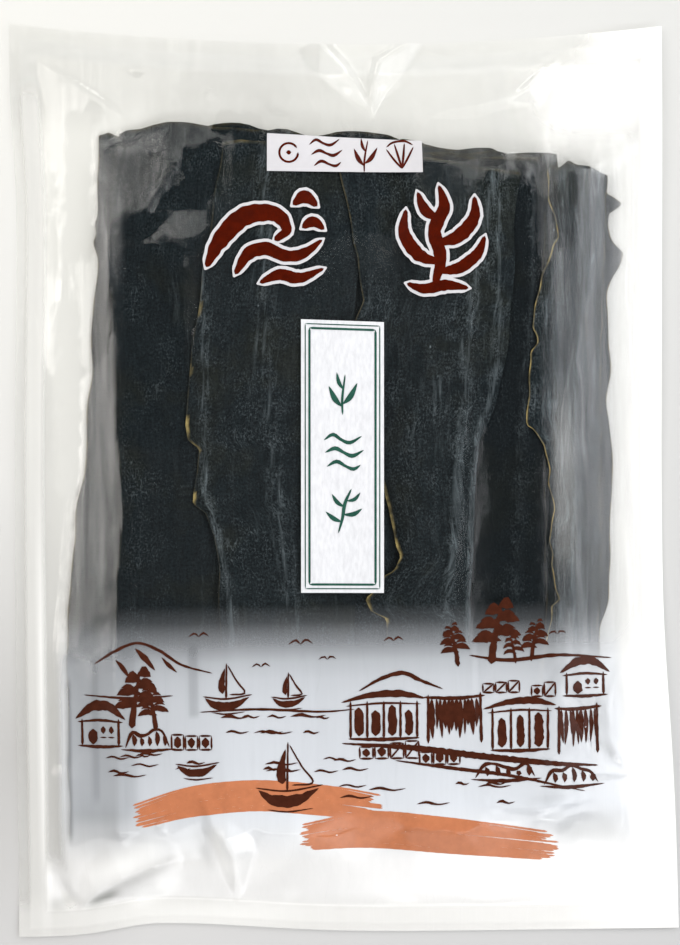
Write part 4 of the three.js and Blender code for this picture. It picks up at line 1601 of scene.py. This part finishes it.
class KELPBAG_OT_motifs(Operator):
    """Print the white box with its small motifs, and the two large motifs with their white outline"""

    bl_idname = "kelpbag.motifs"
    bl_label = "Motifs"

    def execute(self, context):
        colours = colours_of(context)
        white = ink_material("white_ink", colours.white_ink, 0.03)
        red = ink_material("red_brown_ink", colours.red_ink, 0.3)
        box = plate("white_box", *WHITE_BOX, PRINT_LIFT)
        join_print([box], "white_box", INK_THICKNESS * MM, white)
        small = []
        for motif, share, turn in BOX_MOTIFS:
            x, y = within(*WHITE_BOX, share, 0.5)
            small += moved(motif, x, y, BOX_SCALE, turn)
        print_strokes("box_print", small, PRINT_LIFT + SECOND_INK, red, step=FINE_STEP)
        large = moved(WAVE_MOTIF, *WAVE_PLACE) + moved(PLANT_MOTIF, *PLANT_PLACE)
        print_strokes("motif_outline", large, PRINT_LIFT, white, OUTLINE, rough=0.03)
        print_strokes("motif_print", large, 2 * PRINT_LIFT, red, rough=0.05, step=FINE_STEP)
        return {"FINISHED"}


class KELPBAG_OT_seaside(Operator):
    """Print the brown line drawing of a bay"""

    bl_idname = "kelpbag.seaside"
    bl_label = "Line drawing"

    def execute(self, context):
        brown = ink_material("brown_ink", colours_of(context).brown_ink, 0.3)
        print_strokes("seaside_print", seaside(), PRINT_LIFT + SECOND_INK, brown, rough=0.12)
        return {"FINISHED"}


class KELPBAG_OT_bands(Operator):
    """Brush the two orange bands on, bristle by bristle"""

    bl_idname = "kelpbag.bands"
    bl_label = "Brushed bands"

    def execute(self, context):
        orange = ink_material("orange_ink", colours_of(context).orange_ink, 0.12, clear=0.2, gloss=0.3)
        for number, band in enumerate(BANDS):
            rng = np.random.default_rng(band["seed"])
            path = np.array(band["path"], dtype=float)
            strokes = []
            pitch = band["height"] / band["bristles"]
            for bristle in range(band["bristles"]):
                level = (bristle + 0.5) * pitch - band["height"] / 2
                line = path.copy()
                line[0, 0] += rng.uniform(-2.5, 2.5) + 0.03 * level**2
                line[-1, 0] += rng.uniform(-5, 3) - 0.03 * level**2
                line[:, 1] += level * np.array([0.75] + [1.0] * (len(path) - 2) + [0.8])
                width = pitch * rng.uniform(1.0, 1.25)
                strokes.append([(x, y, width) for x, y in line])
            name = f"orange_band_{number + 1}"
            print_strokes(name, strokes, PRINT_LIFT, orange, rough=0.1)
        return {"FINISHED"}


WHITE_LIGHT, COOL_LIGHT, WARM_LIGHT = (1, 1, 1), (0.97, 0.99, 1.03), (1.03, 1, 0.96)
# The lamps: name, turn round the bag and tilt from straight above in degrees, how far off, length and width
# in metres, radiance and colour.
SOFTBOXES = (
    ("right_softbox_1", 0, 20, 2.4, 1.8, 0.42, 1.0, COOL_LIGHT),
    ("right_softbox_2", 0, 31, 2.4, 1.8, 0.50, 2.3, COOL_LIGHT),
    ("right_softbox_3", 0, 45, 2.4, 1.8, 0.68, 3.6, COOL_LIGHT),
    ("right_softbox_4", 0, 62, 2.4, 1.8, 0.76, 4.2, WHITE_LIGHT),
    ("corner_softbox", -58, 46, 2.4, 1.4, 1.3, 2.6, WHITE_LIGHT),
    ("left_softbox_1", 160, 33, 1.7, 1.0, 0.33, 3.3, WARM_LIGHT),
    ("left_softbox_2", 160, 50, 1.7, 1.25, 0.66, 4.5, WARM_LIGHT),
    ("front_softbox_1", -90, 37, 1.6, 1.6, 0.36, 2.6, WHITE_LIGHT),
    ("front_softbox_2", -90, 62, 1.6, 1.0, 0.4, 2.0, WHITE_LIGHT),
    ("back_softbox_1", 90, 27, 1.8, 1.5, 0.86, 1.9, (1, 1, 0.96)),
    ("back_softbox_2", 90, 52, 1.6, 1.5, 0.58, 1.2, (1, 1, 0.96)),
    ("back_softbox_3", 90, 72, 1.2, 1.1, 0.2, 5, (1, 1, 0.98)),
    ("far_softbox", 42, 45, 1.8, 1.0, 0.9, 2.4, WHITE_LIGHT),
)
BACKDROP_GLOW = 0.066  # the share of its light that falls on the bag
AIM_SHIFT = (-0.001, 0.00135)  # metres from the bag's middle to the middle of the picture


class KELPBAG_OT_stage(Operator):
    """Set up the floor, the lights and the camera"""

    bl_idname = "kelpbag.stage"
    bl_label = "Stage"

    def execute(self, context):
        stage = context.scene.kelp_bag_stage
        bpy.ops.object.select_all(action="DESELECT")
        bpy.ops.mesh.primitive_plane_add(size=FLOOR_SIZE)
        floor = context.object
        floor.name = "studio_floor"
        floor.data.materials.append(floor_material(colours_of(context)))

        for softbox in SOFTBOXES:
            self.softbox(*softbox)

        context.scene.world = self.backdrop(colours_of(context))
        context.scene.view_settings.view_transform = "Standard"

        middle = (BAG_LOW + BAG_HIGH) / 2 * MM
        aim = (middle[0] + AIM_SHIFT[0], middle[1] + AIM_SHIFT[1], stage.camera_height)
        bpy.ops.object.camera_add(location=aim, rotation=(0, 0, -stage.lean))
        camera = context.object
        camera.name = "Camera"
        camera.data.sensor_width = 36
        camera.data.lens = camera.data.sensor_width * stage.camera_height / stage.view_height
        camera.data.clip_start = 0.01
        context.scene.camera = camera
        return {"FINISHED"}

    @staticmethod
    def backdrop(colours):
        """Plain pale paper all round, which gives the bag next to no light."""
        world = bpy.data.worlds.new("Studio")
        world.use_nodes = True
        tree = world.node_tree
        background = tree.nodes["Background"]
        background.inputs["Color"].default_value = (*colours.floor_back_left, 1.0)
        seen = tree.nodes.new("ShaderNodeMapRange")
        seen.inputs["To Min"].default_value = BACKDROP_GLOW
        light_path = tree.nodes.new("ShaderNodeLightPath")
        tree.links.new(light_path.outputs["Is Camera Ray"], seen.inputs["Value"])
        tree.links.new(seen.outputs[0], background.inputs["Strength"])
        return world

    @staticmethod
    def softbox(name, turn, tilt, reach, length, width, radiance, colour):
        """A rectangular light that looks at the bag from a turn round it and a tilt from straight above."""
        turn, tilt = math.radians(turn), math.radians(tilt)
        aside = reach * math.sin(tilt)
        place = (aside * math.cos(turn), aside * math.sin(turn), reach * math.cos(tilt))
        bpy.ops.object.light_add(type="AREA", location=place)
        lamp = bpy.context.object
        lamp.name = lamp.data.name = name
        lamp.data.shape = "RECTANGLE"
        lamp.data.size, lamp.data.size_y = length, width
        lamp.data.energy = math.pi * length * width * radiance
        lamp.data.color = colour
        lamp.visible_camera = False
        aim = -lamp.location
        lamp.rotation_euler = aim.to_track_quat("-Z", "Y").to_euler()


class KELPBAG_PT_panel(Panel):
    """Lists the steps that build the bag"""

    bl_idname = "KELPBAG_PT_panel"
    bl_label = "Bag of dried kelp"
    bl_space_type = "VIEW_3D"
    bl_region_type = "UI"
    bl_category = "Kelp"

    def draw(self, context):
        for step in STEPS:
            self.layout.operator(step.bl_idname)


STEPS = (
    KELPBAG_OT_blades, KELPBAG_OT_film, KELPBAG_OT_label, KELPBAG_OT_motifs, KELPBAG_OT_seaside,
    KELPBAG_OT_bands, KELPBAG_OT_stage,
)
CLASSES = (KelpBagSizes, KelpBagColours, KelpBagStage, *STEPS, KELPBAG_PT_panel)
SETTINGS = {
    "kelp_bag_sizes": KelpBagSizes,
    "kelp_bag_colours": KelpBagColours,
    "kelp_bag_stage": KelpBagStage,
}


def register():
    for item in CLASSES:
        bpy.utils.register_class(item)
    for name, group in SETTINGS.items():
        setattr(bpy.types.Scene, name, PointerProperty(type=group))


def unregister():
    for name in SETTINGS:
        delattr(bpy.types.Scene, name)
    for item in reversed(CLASSES):
        bpy.utils.unregister_class(item)


def main():
    """Builds the bag and its stage."""
    register()
    bpy.ops.kelpbag.blades()
    bpy.ops.kelpbag.film()
    bpy.ops.kelpbag.label()
    bpy.ops.kelpbag.motifs()
    bpy.ops.kelpbag.seaside()
    bpy.ops.kelpbag.bands()
    bpy.ops.kelpbag.stage()


if __name__ == "__main__":
    main()
